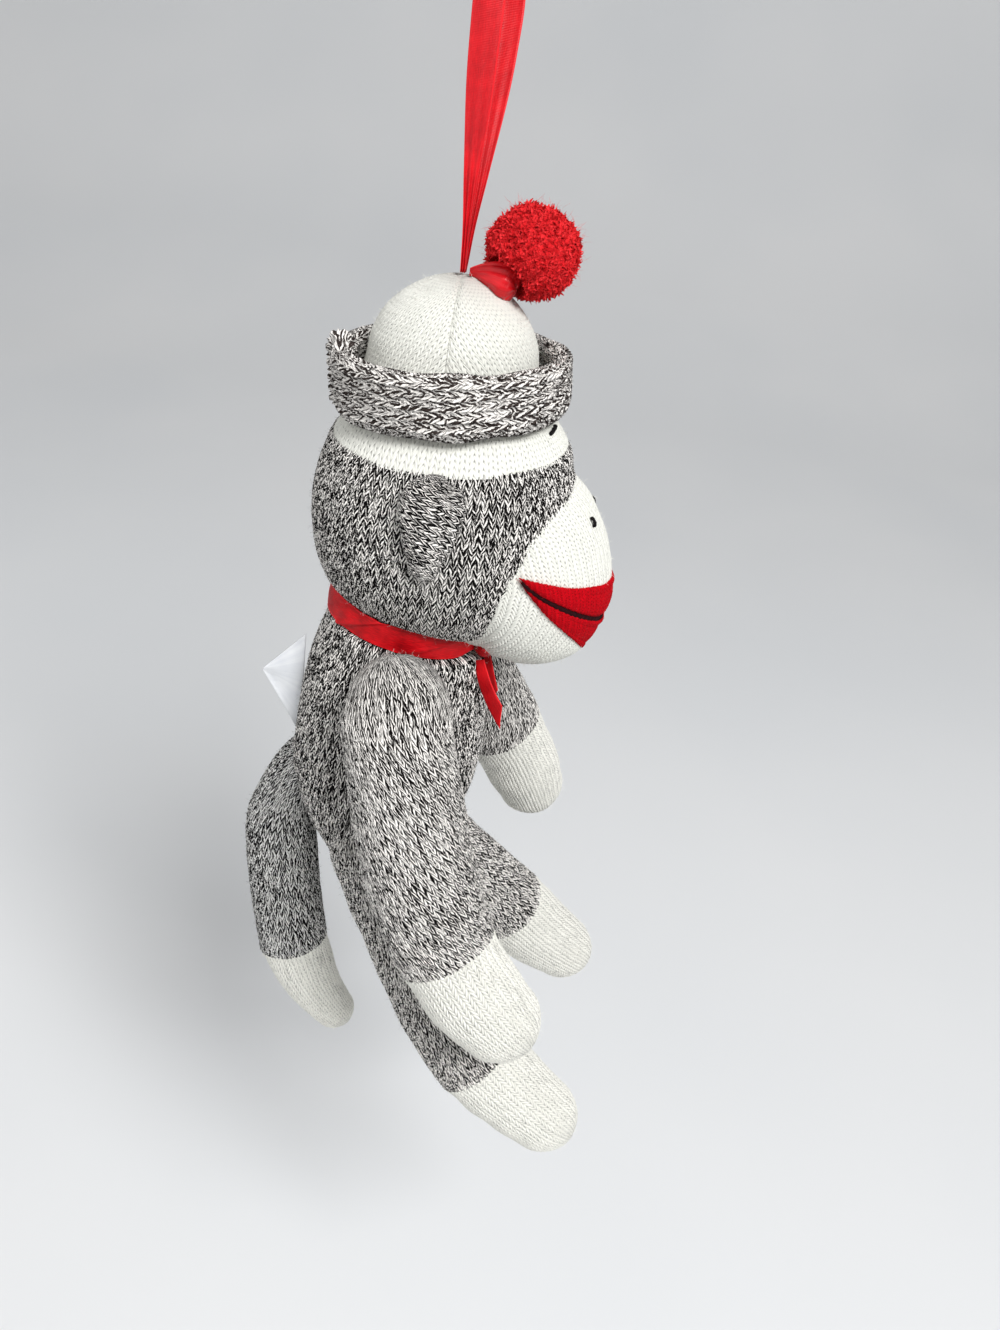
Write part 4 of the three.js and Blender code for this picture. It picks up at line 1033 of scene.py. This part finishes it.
depth = -egg_gap(MUZZLE_EGG[1], HEAD_EGG)
print("the muzzle's middle lies about", round(float(depth)), "mm inside the head")

# %% [markdown]
# The head's wales run from the hat down to the neck, where the cloth turns in under the collar. A
# band of white shows above it, below the hat's cuff.
# %% Head
CAP_POINT, CAP_UP = from_tip((0, 0, -41.6)), tilted_up(3, 6.5)


def cap_edge(around):
    return plane_angle(HEAD_EGG, CAP_POINT, CAP_UP, around)


HEAD_END = math.pi - 0.62
head_wales, head_courses, cap_wales, cap_courses = 106, 50, 80, 8
net = egg_net(HEAD_EGG, cap_edge, HEAD_END, head_courses * COURSE_ROWS + 1,
              head_wales * WALE_COLUMNS)
rise = over_neck(net)
net = net + ((0.2 + 0.7 * np.logaddexp(0, (rise - 0.2) / 0.7)) - rise)[..., None] * NECK_UP
above_collar = np.clip((rise - 1) / 6, 0, 1)
net = net + (stuffed(lumps(net, 0.35, 14, 51), most=0.6) - net) * above_collar[..., None]
net = tuck(net, egg_gap(net, MUZZLE_EGG), 0.9, 1.8)
net = scallop(net, head_wales, 1)
head = knitted("head_knit", net, head_wales, head_courses, shaded_head_marl, relief=0.42, fuzz=0.35,
               skip=egg_gap(net, MUZZLE_EGG) < -4, seed=51)
dress(head, "head", "head")
net = egg_net(HEAD_EGG, 0.72, lambda around: cap_edge(around) + 0.012,
              cap_courses * COURSE_ROWS + 1, cap_wales * WALE_COLUMNS)
cap = knitted("white_band", net, cap_wales, cap_courses, white_knit, relief=0.34, fuzz=0.3, seed=52)
dress(cap, "head", "head_cap")

# %% [markdown]
# The muzzle is a white cap sewn over the lower front of the head. Its courses lie closer than the
# head's. Behind the mouth the stuffing is held back a little, so the lips stand out from a flatter
# place. Over the collar's knot it is held back too, so that the knot passes when the neck turns.
# %% Muzzle
CORNER_ANGLE, CORNER_DROP = 75.0, 70.3
TOP_LINE, SMILE_LINE, BOTTOM_LINE = (5.6, 0.9), (17.6, 0.7), (29.0, 0.62)
KNOT_ROOM, CHIN_HEIGHT = 2.6, -179


def mouth_drop(line, share):
    return CORNER_DROP + line[0] * np.clip(np.cos(share * math.pi / 2), 0, 1) ** line[1]


def held_back(share):
    return 1.7 * np.clip(np.cos(share * math.pi / 2), 0, 1)


muzzle_wales, muzzle_courses = 76, 84
net = egg_net(MUZZLE_EGG, 0.3, math.pi - 0.03, muzzle_courses * 4 + 1, muzzle_wales * 8)
net = tuck(stuffed(lumps(net, 0.3, 12, 61), most=0.5), egg_gap(net, HEAD_EGG), 1.1, 2.0)
flat = (net - MUZZLE_EGG[1]) / MUZZLE_EGG[0]
angle = np.arctan2(flat[..., 0], -flat[..., 1] + flat[..., 2] * MUZZLE_EGG[2])
share = np.abs(np.degrees(angle)) / CORNER_ANGLE
drop = HAT_TIP - net[..., 2]
under = np.minimum(drop - mouth_drop(TOP_LINE, share), mouth_drop(BOTTOM_LINE, share) - drop)
back = np.clip(under / 2.5, 0, 1) * (held_back(share) + 0.4) * (share < 1)
net = swell(net, -back)
over_knot = np.exp(-((net[..., 0] + 4) / 11) ** 4 - ((net[..., 1] + 21) / 5) ** 4)
net[..., 2] += KNOT_ROOM * (over_knot * np.clip((CHIN_HEIGHT - net[..., 2]) / 2, 0, 1))
ring = np.linalg.norm(np.roll(net, -1, 1) - net, axis=-1).sum(1)
muzzle = knitted("muzzle_knit", net, muzzle_wales, muzzle_courses, white_knit, relief=0.36,
                 fuzz=0.35, gather=ring / ring.max(), skip=egg_gap(net, HEAD_EGG) < -2.5,
                 capped=(False, True), seed=61)
dress(muzzle, "head", "muzzle")

# %% [markdown]
# The mouth is two padded strips of fine red knit, bent round the muzzle between the same two
# corners. The smile is the groove between them.
# %% Lips
def over_muzzle(drop, angle, lift):
    return on_egg(MUZZLE_EGG, shell_at(MUZZLE_EGG, drop, angle), lift)


LIP_WALES, LIP_COURSES = 36, 9


def lip(name, node, upper, lower, puff, top_gap, bottom_gap, seed):
    share = np.linspace(-1, 1, LIP_WALES * 8)
    down = np.linspace(0, 1, LIP_COURSES * 6 + 1)[:, None]
    top = mouth_drop(upper, np.abs(share)) + top_gap
    bottom = np.maximum(mouth_drop(lower, np.abs(share)) - bottom_gap, top + 0.25)
    drop = top + (bottom - top) * down
    edge = np.clip(np.minimum(down, 1 - down) / 0.2, 0, 1)
    bulge = np.sqrt(1 - (1 - edge) ** 2) * (0.7 + 0.3 * np.sin(down * math.pi))
    ends = np.clip((1 - np.abs(share)) / 0.12, 0, 1) ** 0.5
    sunk = np.clip(np.minimum(down, 1 - down + 0.4 * (top_gap == 0)) / 0.2, 0, 1)
    lift = puff * bulge * ends - 0.1 - held_back(np.abs(share)) * sunk
    angle = np.broadcast_to(np.radians(-share * CORNER_ANGLE), drop.shape)
    net = over_muzzle(drop, angle, lift)
    net = swell(net, 0.25 * soft_noise(net, 7, seed), closed=False)
    piece = knitted(name, net, LIP_WALES, LIP_COURSES, red_knit, relief=0.3, closed=False, fuzz=0.5,
                    fuzz_length=1.0, seed=seed)
    dress(piece, "head", node)


lip("lip_above", "upper_lip", TOP_LINE, SMILE_LINE, 2.4, 0, 0.3, 71)
lip("lip_below", "lower_lip", SMILE_LINE, BOTTOM_LINE, 1.7, 0.6, 0, 72)

# %% [markdown]
# The smile, the eyes and the nostrils are sewn with black thread. A thread is a thin round cord
# with a twist, so each stitch is made as a tube whose surface winds round it, sunk at both ends.
# %% Black thread
def thread_finish(name, deep, pale):
    finish, add, _, blend, wear = new_finish(name)
    grain = noise(add, position(add), 3000.0)[0]
    bump = bumps(add, grain, 0.4, 0.0001)
    wear(Base_Color=blend(grain, deep, pale), Roughness=0.75, Normal=bump, Specular_IOR_Level=0.1)
    return finish


black = thread_finish("black_thread", colour(6, 5, 6), colour(30, 27, 28))
# the smile's thread is dark red, not black: painted shade of the red groove laid over the real
# black thread
smile_thread_and_shade = thread_finish("smile_thread", colour(22, 4, 6), colour(50, 12, 16))


TURN_LENGTH = 2.0  # of thread for one turn of its two strands


def thread(name, route, radius):
    length = steps_of(route).sum()
    rows, cols = max(12, int(length * 5)), 12
    line = smooth_route(route, rows)
    forward = unit(np.gradient(line, axis=0))
    across = unit(np.cross(forward, [0.3, 0.2, 0.9]))
    twist = np.linspace(0, length / TURN_LENGTH * 2 * math.pi, rows)[:, None]
    if callable(radius):
        radius = radius(np.linspace(-1, 1, rows))[:, None]
    reach = radius * (1 + 0.16 * np.cos(2 * full_turn(cols) + twist))
    ends = np.clip(np.minimum(np.arange(rows), np.arange(rows)[::-1]) / 3 + 0.3, 0, 1)[:, None]
    ring = rings(across, np.cross(forward, across), cols)
    net = line[:, None] + ring * (reach * ends)[..., None]
    marks = even_marks(np.linspace(0, 1, cols + 1), np.linspace(0, length, rows))
    return net_mesh(name, net, marks, capped=(True, True))


def sew(piece, node, finish=black):
    dress(piece, "head", node, finish=finish)


print("thread finishes:", black.name, "and", smile_thread_and_shade.name)

# %% [markdown]
# The smile follows the groove between the lips, as a row of short stitches that rise and sink.
# Between the middle and the corners the thread swells to twice its width, painted shade of the
# groove round the black thread.
# %% Smile
SMILE_STITCHES = 13
share = np.linspace(-0.99, 0.99, 70)
bob = 0.5 + 0.15 * np.abs(np.sin(share * SMILE_STITCHES * math.pi)) - held_back(np.abs(share))
smile_line = mouth_drop(SMILE_LINE, np.abs(share))
smile = over_muzzle(smile_line, np.radians(-share * CORNER_ANGLE), bob)
sew(thread("smile_stitch", smile, lambda at: 0.5 + 0.5 * np.sin(np.abs(at) * math.pi) ** 0.7),
    "smile_thread", finish=smile_thread_and_shade)
print("the smile is", round(float(steps_of(smile).sum())), "mm long")

# %% [markdown]
# Each eye and each nostril is one stitch. It comes out of the cloth, arches over it and goes back
# in. An eye's stitch lies almost level, a nostril's almost upright.
# %% Eyes and nostrils
FACE_STITCHES = (  # what, egg, drop, angle from the front, lean, half of its length, thickness
    ("eye", HEAD_EGG, 35.0, 18.5, 75, 3.1, 0.4), ("nostril", MUZZLE_EGG, 58.2, 20.5, 5, 1.35, 0.36),
)
for word, side in (("right", -1), ("left", 1)):
    for title, egg, drop, azimuth, slope, half, radius in FACE_STITCHES:
        slope = math.radians(slope)
        middle = on_egg(egg, shell_at(egg, drop, -side * math.radians(azimuth)))
        above = on_egg(egg, shell_at(egg, drop - 0.5, -side * math.radians(azimuth)))
        beside = on_egg(egg, shell_at(egg, drop, -side * math.radians(azimuth + 1)))
        up, out = unit(above - middle), unit(beside - middle)
        way = up * math.cos(slope) - out * math.sin(slope)
        normal = unit(np.cross(up, out)) * side
        normal = normal * np.sign(normal @ (middle - egg[1]))
        t = np.linspace(-1, 1, 9)[:, None]
        route = middle + way * t * half + normal * (0.75 - 0.9 * t ** 4)
        sew(thread(f"{title}_stitch_{word}", route, radius * 1.3), f"{title}_{word}")
print("stitches in the face:", 2 * len(FACE_STITCHES))

# %% [markdown]
# Ears are small padded lobes, folded at the front and sewn to the sides of the head. Their cloth is
# turned, so the stitches run round the ear and not down it.
# %% Ears
EAR_TAPER = smooth([(0, 1), (0.5, 0.84), (1, 0.56)])
EAR_RADIUS, EAR_TOP, EAR_BOTTOM = 8.9, 52.5, 68.5
ear_wales, ear_courses = 20, 40
for word, side in (("right", -1), ("left", 1)):
    drops = np.linspace(EAR_TOP, EAR_BOTTOM, 9)
    line = shell_at(HEAD_EGG, drops, np.full(9, -side * math.pi / 2))
    line = on_egg(HEAD_EGG, line, np.full(9, 0.6)) + [0, 1.4, 0]
    net = tube_net(line, lambda share: EAR_RADIUS * EAR_TAPER(share), WHOLE_START, WHOLE_END,
                   ear_wales * 6 + 1, ear_courses * 4, flat=0.76, dome=0.88)
    net = stuffed(lumps(net, 0.3, 8, 81 + side), most=0.5)
    sunk = egg_gap(net, HEAD_EGG) < -2
    fold = np.exp(-((net[..., 1] + 5.6) / 1.1) ** 2)
    net = swell(net, -1.1 * fold)
    ear = knitted(f"ear_lobe_{word}", net, ear_wales, ear_courses, shaded_head_marl, relief=0.4,
                  turned=True, skip=sunk, fuzz=0.5, capped=(True, True), seed=81 + side,
                  lean=-0.25 * side)
    dress(ear, "head", f"ear_{word}")

# %% [markdown]
# The hat is a white dome in a fine knit with one seam down its side. Its outline runs from the tip
# to the edge that the cuff hides, and is turned round the hat's middle.
# %% The hat's dome
CROWN_TABLE = [(0.0, 0.0), (0.3, 0.05), (0.58, 0.19), (0.8, 0.4), (0.95, 0.7), (1.0, 1.0)]
CROWN_SIZE = 23.4
crown_wales, crown_courses = 64, 34
outline = np.array([(0.6, 0.02)] + [(CROWN_SIZE * r, CROWN_SIZE * d) for r, d in CROWN_TABLE[1:]]
                   + [(27.6, 34.5)])
steps = travelled(outline)
down = np.linspace(0, steps[-1], crown_courses * 4 + 1)
radii, drops = (smooth(np.column_stack([steps, outline[:, k]]))(down) for k in (0, 1))
around = full_turn(crown_wales * 8)
net = np.stack([radii[:, None] * np.cos(around), -radii[:, None] * np.sin(around),
                np.broadcast_to(HAT_TIP - drops[:, None], (len(down), len(around)))], -1)
net = stuffed(lumps(net, 0.35, 12, 91), most=0.6)
seam = np.exp(-((around - math.pi) * radii[:, None] / 0.7) ** 2)
net = swell(net, -0.7 * seam * np.clip(down / 6, 0, 1)[:, None])
panel = 0.4 * np.sign(np.sin(np.append(around, 0)))
crown = knitted("hat_dome", net, crown_wales, crown_courses, white_knit, relief=0.3, fuzz=0.3,
                capped=(True, False), seed=91, lean=panel)
dress(crown, "head", "hat_crown")

# %% [markdown]
# The rolled cuff round the hat is knitted sideways, so that its columns of V shapes run round the
# head like braids. Its section is an upright pill. It sags a little on one side, stands up at the
# back, and has one seam there.
# %% The hat's cuff
CUFF_RADIUS, CUFF_TALL, CUFF_HALF_THICK = 29.5, 16.5, 2.8
SEAM_TURN = math.radians(100)
cuff_wales, cuff_courses = 14, 108
half_flat = CUFF_TALL / 2 - CUFF_HALF_THICK
arc = np.linspace(0, math.pi, 21)
section = np.concatenate([
    np.stack([CUFF_RADIUS + way * CUFF_HALF_THICK * np.cos(arc),
              way * (half_flat + CUFF_HALF_THICK * np.sin(arc))], 1) for way in (1, -1)])
section = np.vstack([section, section[:1]])
steps = travelled(section)
even = np.linspace(0, steps[-1], cuff_wales * 6 + 1)[:-1]
section = np.stack([np.interp(even, steps, section[:, k]) for k in (0, 1)], 1)
turns = np.linspace(0, 2 * math.pi, cuff_courses * 4 + 1)
net = np.stack([section[:, 0] * np.cos(turns)[:, None], section[:, 0] * np.sin(turns)[:, None],
                np.broadcast_to(section[:, 1], (len(turns), len(section)))], -1)
ripple = 0.5 * np.sin(turns * 7 + 1) + 0.35 * np.sin(turns * 11)
net = swell(net, (ripple * 0.5)[:, None])
front = (0.5 + 0.5 * np.cos(turns + math.radians(70))) ** 2
net[..., 2] -= 2.4 * front[:, None] * np.clip(net[..., 2] / 8, 0, 1)
back = np.exp(-((turns - SEAM_TURN) * 30 / 2.6) ** 2)
net[..., 2] += np.clip(net[..., 2], 0, 9) * 0.42 * back[:, None]
seam = np.exp(-((turns - SEAM_TURN) * 30 / 0.7) ** 2)
net = swell(net, (-0.9 * seam)[:, None])
up = tilted_up(6.3, 4.5)
east = unit(np.cross([0, 1.0, 0], up))
net = net @ np.array([east, np.cross(up, east), up]) + from_tip((0, 0, -25.7))
cuff = knitted("hat_roll", net, cuff_wales, cuff_courses, cuff_marl, relief=0.75, fuzz=1.2, seed=92)
dress(cuff, "head", "hat_cuff")

# %% [markdown]
# The pompom is a ball of cut yarn, matted by handling. Its yarn has two finishes: a deeper one for
# the ball as painted shade, darkest in the hollows between its clumps, and a paler one for the ends
# as painted highlight where they catch the light.
# %% Pompom yarn
def wool(name, light, dark):
    finish, add, calc, blend, wear = new_finish(name)
    place = position(add)
    clump = noise(add, place, 700.0, 3.0)[0]
    fine = noise(add, place, 2400.0)[0]
    # the colour darkens with the noise that sinks the bump: painted shade in the hollows between
    # clumps
    share = spread(add, calc("ADD", clump, calc("MULTIPLY", fine, 0.4)), 0.5, 0.85)
    bump = bumps(add, calc("ADD", clump, fine), 0.8, 0.0008)
    wear(Base_Color=blend(share, dark, light), Roughness=0.9, Normal=bump, Specular_IOR_Level=0.1)
    return finish


# the ball's finish is the shaded copy and the ends' finish the lit copy of one red yarn
shaded_wool_ball = wool("pompom_wool", colour(232, 40, 46), colour(180, 16, 24))
lit_wool_ends = wool("pompom_wool_ends", colour(242, 56, 60), colour(210, 32, 38))
print("yarn finishes:", shaded_wool_ball.name, "and", lit_wool_ends.name)

# %% [markdown]
# A lumpy ball gives the pompom its body, and thousands of short bent yarn ends lie over it, with a
# few long wisps on its upper side. Its underside is dented by the gathered ribbon that holds it.
# %% Pompom
POMPOM_CENTRE, POMPOM_RADIUS = from_tip((0, -17.2, 8)), 11.3
BUNDLE_END = from_tip((-3.6, -11.5, 0.2))
KNOBS = 230
YARN_ENDS, WISPS = 15000, 1100
UPPER_ROWS = 96  # rows of the net that carry wisps
POMPOM_ROOM, BUNDLE_ROOM = 2.4, 0.35  # above the hat's dome


def above_dome(net, room):
    """Lifts whatever would come nearer to the hat than the given room."""
    dome = HAT_TIP - np.interp(np.hypot(net[..., 0], net[..., 1]), radii, drops) + room
    return np.concatenate([net[..., :2], np.maximum(net[..., 2], dome)[..., None]], -1)


rows, cols = 150, 220
ball = globe(np.linspace(0.02, math.pi - 0.02, rows)[:, None], full_turn(cols))
random = np.random.default_rng(101)
knobs = unit(random.normal(size=(KNOBS, 3)))
nearest = np.sort(np.arccos(np.clip(ball @ knobs.T, -1, 1)), -1)[..., :2]
crease = np.clip((nearest[..., 1] - nearest[..., 0]) / 0.09, 0, 1)
lump = 0.5 * soft_noise(ball * 12, 9, 102) + 0.25 * soft_noise(ball * 12, 3, 103)
net = POMPOM_CENTRE + ball * (POMPOM_RADIUS + lump + 0.7 * crease ** 0.5)[..., None]
net = carve(net, BUNDLE_END + [-2.0, 1.2, 0], 7.4, POMPOM_CENTRE + [4, -3, 1])
pressed = 0.8 * np.exp(-((net[..., 2] - POMPOM_CENTRE[2] - 9) / 3) ** 2)
net = net - np.array([0, 0, 1.0]) * pressed[..., None]
net = above_dome(net, POMPOM_ROOM)
marks = np.broadcast_to(np.array([0.5, 0.5]), (rows, cols + 1, 2))
ends = loose_fibres(net, net_normals(net), marks, YARN_ENDS, 1.15, 104, thickness=0.55,
                    stand=(-0.5, -0.05))
upper = slice(0, UPPER_ROWS)
wisps = loose_fibres(net[upper], net_normals(net)[upper], marks[upper], WISPS, 3.0, 105)
ends = (np.concatenate([ends[0], wisps[0]]), np.concatenate([ends[1], wisps[1] + len(ends[0])]),
        np.concatenate([ends[2], wisps[2]]))
pompom = net_mesh("pompom_ball", net, marks, capped=(True, True), extra=ends)
pompom.data.materials.append(shaded_wool_ball)
pompom.data.materials.append(lit_wool_ends)
dress(pompom, "pompom", "pompom")
print("pompom", len(ends[1]) // 2, "yarn ends")

# %% [markdown]
# The same satin holds the pompom: a short bundle, sewn down at the hat's tip and opening in deep
# pleats until its mouth meets the yarn. It lies on the dome and leans to the doll's right.
# %% The pompom's satin bundle
rows, cols = 70, 110
bundle_line = smooth_route([from_tip((-0.2, -2.2, 0.9)), from_tip((-1.6, -5.5, 1.3)), BUNDLE_END,
                            BUNDLE_END + [-0.4, -1.6, -0.6]], 60)
bundle_radius = smooth([(0, 1.1), (0.3, 2.6), (0.7, 4.4), (0.9, 5.0), (1, 4.6)])
net = tube_net(bundle_line, bundle_radius, 0, 99, rows, cols, dome=0.3)
turn = full_turn(cols)
opening = np.linspace(0, 1, rows)[:, None]
pleat = 0.26 * np.sin(6 * turn + 2.2 * np.sin(turn) + opening)
pleat = pleat + 0.1 * np.sin(13 * turn + 3 * opening)
pleat = pleat * np.clip(opening * 3, 0.35, 1) * (1.2 - 0.5 * opening)
net = swell(net, pleat + 0.3 * soft_noise(net, 4, 106))
marks = even_marks(np.linspace(0, 3, cols + 1), np.linspace(0, 14, rows))
bundle = net_mesh("satin_bundle", above_dome(net, BUNDLE_ROOM), marks, capped=(True, True))
dress(bundle, "pompom", "pompom_neck", finish=ribbon_satin)
print("satin bundle", len(bundle.data.polygons), "faces")

# %% [markdown]
# The collar is the same ribbon, wrapped once round the neck with the soft creases it takes when it
# is pulled tight.
# %% Collar
KNOT_TURN = math.radians(-112)
KNOT_WIDE, KNOT_TALL, KNOT_DEEP = 9.0, 7.2, 6.0
NECK_RADIUS, COLLAR_RISE, KNOT_RISE = 23.0, -4.1, -4.05  # both lie below the neck's plane
CREASES = ((52, 22, 0.5), (84, 18, -0.5), (98, 14, 0.95), (118, 20, 0.35), (20, 20, 0.4))
turn = KNOT_TURN + np.linspace(0.1, 2 * math.pi - 0.1, 260)
near_knot = np.minimum(turn - turn[0], turn[-1] - turn)
lifted = 0.5 * np.exp(-(near_knot / 0.12) ** 2)
route = at_neck(turn, NECK_RADIUS + 0.5 + lifted, COLLAR_RISE)
widths = RIBBON_WIDTH * (1 - 0.4 * np.exp(-(near_knot / 0.14) ** 2))


def collar_folds(along, lane):
    """Long creases that run slantwise from edge to edge, given by start, length and height."""
    rise = 0.12 * np.sin(along / 3.1 + lane * 5)
    for start, length, height in CREASES:
        middle = (along - start) / length - 0.5
        rise = rise + height * np.exp(-((lane - middle) / 0.09) ** 2) * (np.abs(middle) < 0.62)
        step = height * 0.5 / (1 + np.exp(-(lane - middle) / 0.06))
        rise = rise + step * np.exp(-(middle / 0.7) ** 2)
    return np.maximum(rise, -0.1)


collar = ribbon("collar_band", route, widths, NECK_UP, pleats=0.5, thickness=0.35, lanes=30,
                folds=collar_folds)
print("collar", round(float(steps_of(route).sum())), "mm long")

# %% [markdown]
# The collar is tied under the chin with a small knot. It is a flattened ball with ridges, where the
# ribbon turns over itself.
# %% The collar's knot
knot_seat = NECK_RADIUS + 0.5 + 0.3 + KNOT_DEEP / 2
knot_centre = at_neck(KNOT_TURN, knot_seat, KNOT_RISE)
knot_out = at_neck(KNOT_TURN, knot_seat + 1, KNOT_RISE) - knot_centre
knot_east = np.cross(NECK_UP, knot_out)
rows, cols = 60, 90
polar, turn = np.linspace(0.05, math.pi - 0.05, rows)[:, None], full_turn(cols)
ridge = 0.42 * np.abs(np.sin(2.5 * (polar + 0.5 * np.sin(turn))))
ridge = ridge + 0.3 * np.exp(-(np.sin(turn - 0.6) / 0.22) ** 2)
net = knot_centre + (
    (np.cos(polar) + 0 * turn)[..., None] * knot_east * KNOT_WIDE / 2
    + (np.sin(polar) * np.cos(turn))[..., None] * knot_out * KNOT_DEEP / 2
    + (np.sin(polar) * np.sin(turn))[..., None] * NECK_UP * KNOT_TALL / 2
)
net = knot_centre + (net - knot_centre) * (0.86 + 0.24 * ridge)[..., None]
marks = even_marks(np.linspace(0, 1, cols + 1), np.linspace(0, 9, rows))
knot = net_mesh("collar_tie", net, marks, capped=(True, True))
print("knot", KNOT_WIDE, "by", KNOT_TALL, "mm")

# %% [markdown]
# Both ends come out of the knot, curve away from the chest and are cut slanting.
# %% The collar's loose ends
END_STEPS, END_WIDTH, END_SLANT = 40, 4.4, 5.2
pieces = [(collar, "collar_ribbon"), (knot, "collar_knot")]
for word, side, length, rises in (("right", -1, 21.0, (30, 50, 60)),
                                  ("left", 1, 17.5, (14, 24, 30))):
    start = knot_centre - NECK_UP * (KNOT_TALL / 2 - 0.1) + knot_east * side * KNOT_WIDE / 4
    share = np.linspace(0, 1, END_STEPS)
    rise = np.radians(smooth(list(zip((0, 0.5, 1), rises)))(share))[:, None]
    heading = knot_out * np.sin(rise) - NECK_UP * np.cos(rise) + knot_east * side * 0.2
    route = start + np.cumsum(unit(heading), 0) * length / END_STEPS
    widths = END_WIDTH * smooth([(0, 0.6), (0.2, 0.9), (0.4, 1), (1, 1)])(share)
    across = np.cross(knot_east, unit(heading))
    end = ribbon(f"loose_end_{word}", route, widths, -across, lanes=14, cut=END_SLANT,
                 folds=lambda along, lane: 0.5 * np.sin(along / 5) * (lane + 0.3))
    pieces.append((end, f"ribbon_end_{word}"))
for piece, node in pieces:
    dress(piece, "torso", node, finish=collar_satin)
print("collar of", len(pieces), "pieces")

# %% [markdown]
# The label is a folded corner of white satin. It stands out of the seam down the doll's back and
# curls a little. It is bare.
# %% Label
LABEL_TOP, LABEL_CORNER, LABEL_BOTTOM = 109.0, 123.5, 144.0  # drops below the hat's tip
LABEL_REACH, SEAM_BACK = 12.6, 35.2
top, corner, bottom = (from_tip(p) for p in (
    (0, SEAM_BACK, -LABEL_TOP), (0, SEAM_BACK + LABEL_REACH, 1.2 - LABEL_CORNER),
    (0, SEAM_BACK, -LABEL_BOTTOM)))
along_seam = np.linspace(0, 1, 50)[:, None]
outward = np.linspace(0, 0.985, 34)
seam_line = top + (bottom - top) * along_seam
sheet = seam_line[:, None] + (corner - seam_line)[:, None] * outward[None, :, None]
sheet[..., 0] -= 0.9 * outward ** 2 + 0.5 * np.sin(along_seam * 6.0) * outward * (1 - outward) * 4
upper_side, lower_side = (np.linalg.norm(corner - edge) for edge in (top, bottom))
edge_near = np.minimum(along_seam * lower_side, (1 - along_seam) * upper_side) * (1 - outward)
half = 0.2 + 0.12 * np.exp(-(edge_near / 0.5) ** 2)
front, back = sheet - half[..., None] * [1, 0, 0], sheet + half[..., None] * [1, 0, 0]
net = np.concatenate([front, back[:, ::-1]], 1)
marks = even_marks(np.full(net.shape[1] + 1, 0.5), np.linspace(0, 36, 50))
label = net_mesh("label_sheet", net, marks, capped=(True, True))
dress(label, "label", "label", finish=label_satin)
print("label", LABEL_REACH, "by", LABEL_BOTTOM - LABEL_TOP, "mm")

# %% [markdown]
# The studio is a pale floor that curves up into a pale wall. It isn't part of the doll.
# %% Floor and wall
def pale_cloth():
    finish, add, _, blend, wear = new_finish("studio_paper")
    share = spread(add, noise(add, position(add), 3.0)[0], 0.3, 0.7)
    wear(Base_Color=blend(share, colour(226, 228, 230), colour(232, 233, 234)), Roughness=0.9)
    return finish


FLOOR_DROP = 420.0
SWEEP_ROWS, SWEEP_HALF = 60, 12000
SWEEP = np.array([(-12000, 0, 0), (900, 0, 0), (1300, 60, 0), (1600, 260, 0), (1750, 600, 0),
                  (1800, 1000, 0), (1800, 6000, 0)], float)
sweep = smooth_route(SWEEP, SWEEP_ROWS)
net = np.zeros((SWEEP_ROWS, 2, 3))
net[..., 0] = sweep[:, :1]
net[..., 1] = [SWEEP_HALF, -SWEEP_HALF]
net[..., 2] = sweep[:, 1:2] - FLOOR_DROP
paper = net_mesh("studio_sweep", net, np.zeros((SWEEP_ROWS, 2, 2)), closed=False)
paper.data.materials.append(pale_cloth())
print("floor", FLOOR_DROP, "mm below the hook")

# %% [markdown]
# One soft lamp stands for a window at the doll's right, above the camera. A larger and weaker one
# and the pale room fill its shadows.
# %% Lamps
DOLL_MIDDLE = (0, 0, -0.2)


def lamp(name, place, size, power):
    light = bpy.data.lights.new(name, "AREA")
    light.size = size
    light.energy = power
    thing = bpy.data.objects.new(name, light)
    bpy.context.collection.objects.link(thing)
    back = unit(np.array(place, float) - np.array(DOLL_MIDDLE, float))
    east = unit(np.cross([0, 0, 1.0], back))
    turned = Matrix([east, np.cross(back, east), back]).transposed().to_4x4()
    thing.matrix_world = Matrix.Translation(place) @ turned


lamp("window_light", (-0.9, -0.5, 0.75), 0.5, 20)
lamp("fill_light", (-0.5, 1.1, 0.3), 1.2, 4)
world = bpy.data.worlds.new("room")
world.use_nodes = True
world.node_tree.nodes["Background"].inputs[0].default_value = (1, 1, 1, 1)
world.node_tree.nodes["Background"].inputs[1].default_value = 0.42
bpy.context.scene.world = world
bpy.context.scene.view_settings.view_transform = "Standard"
print("lamps:", len(bpy.data.lights))
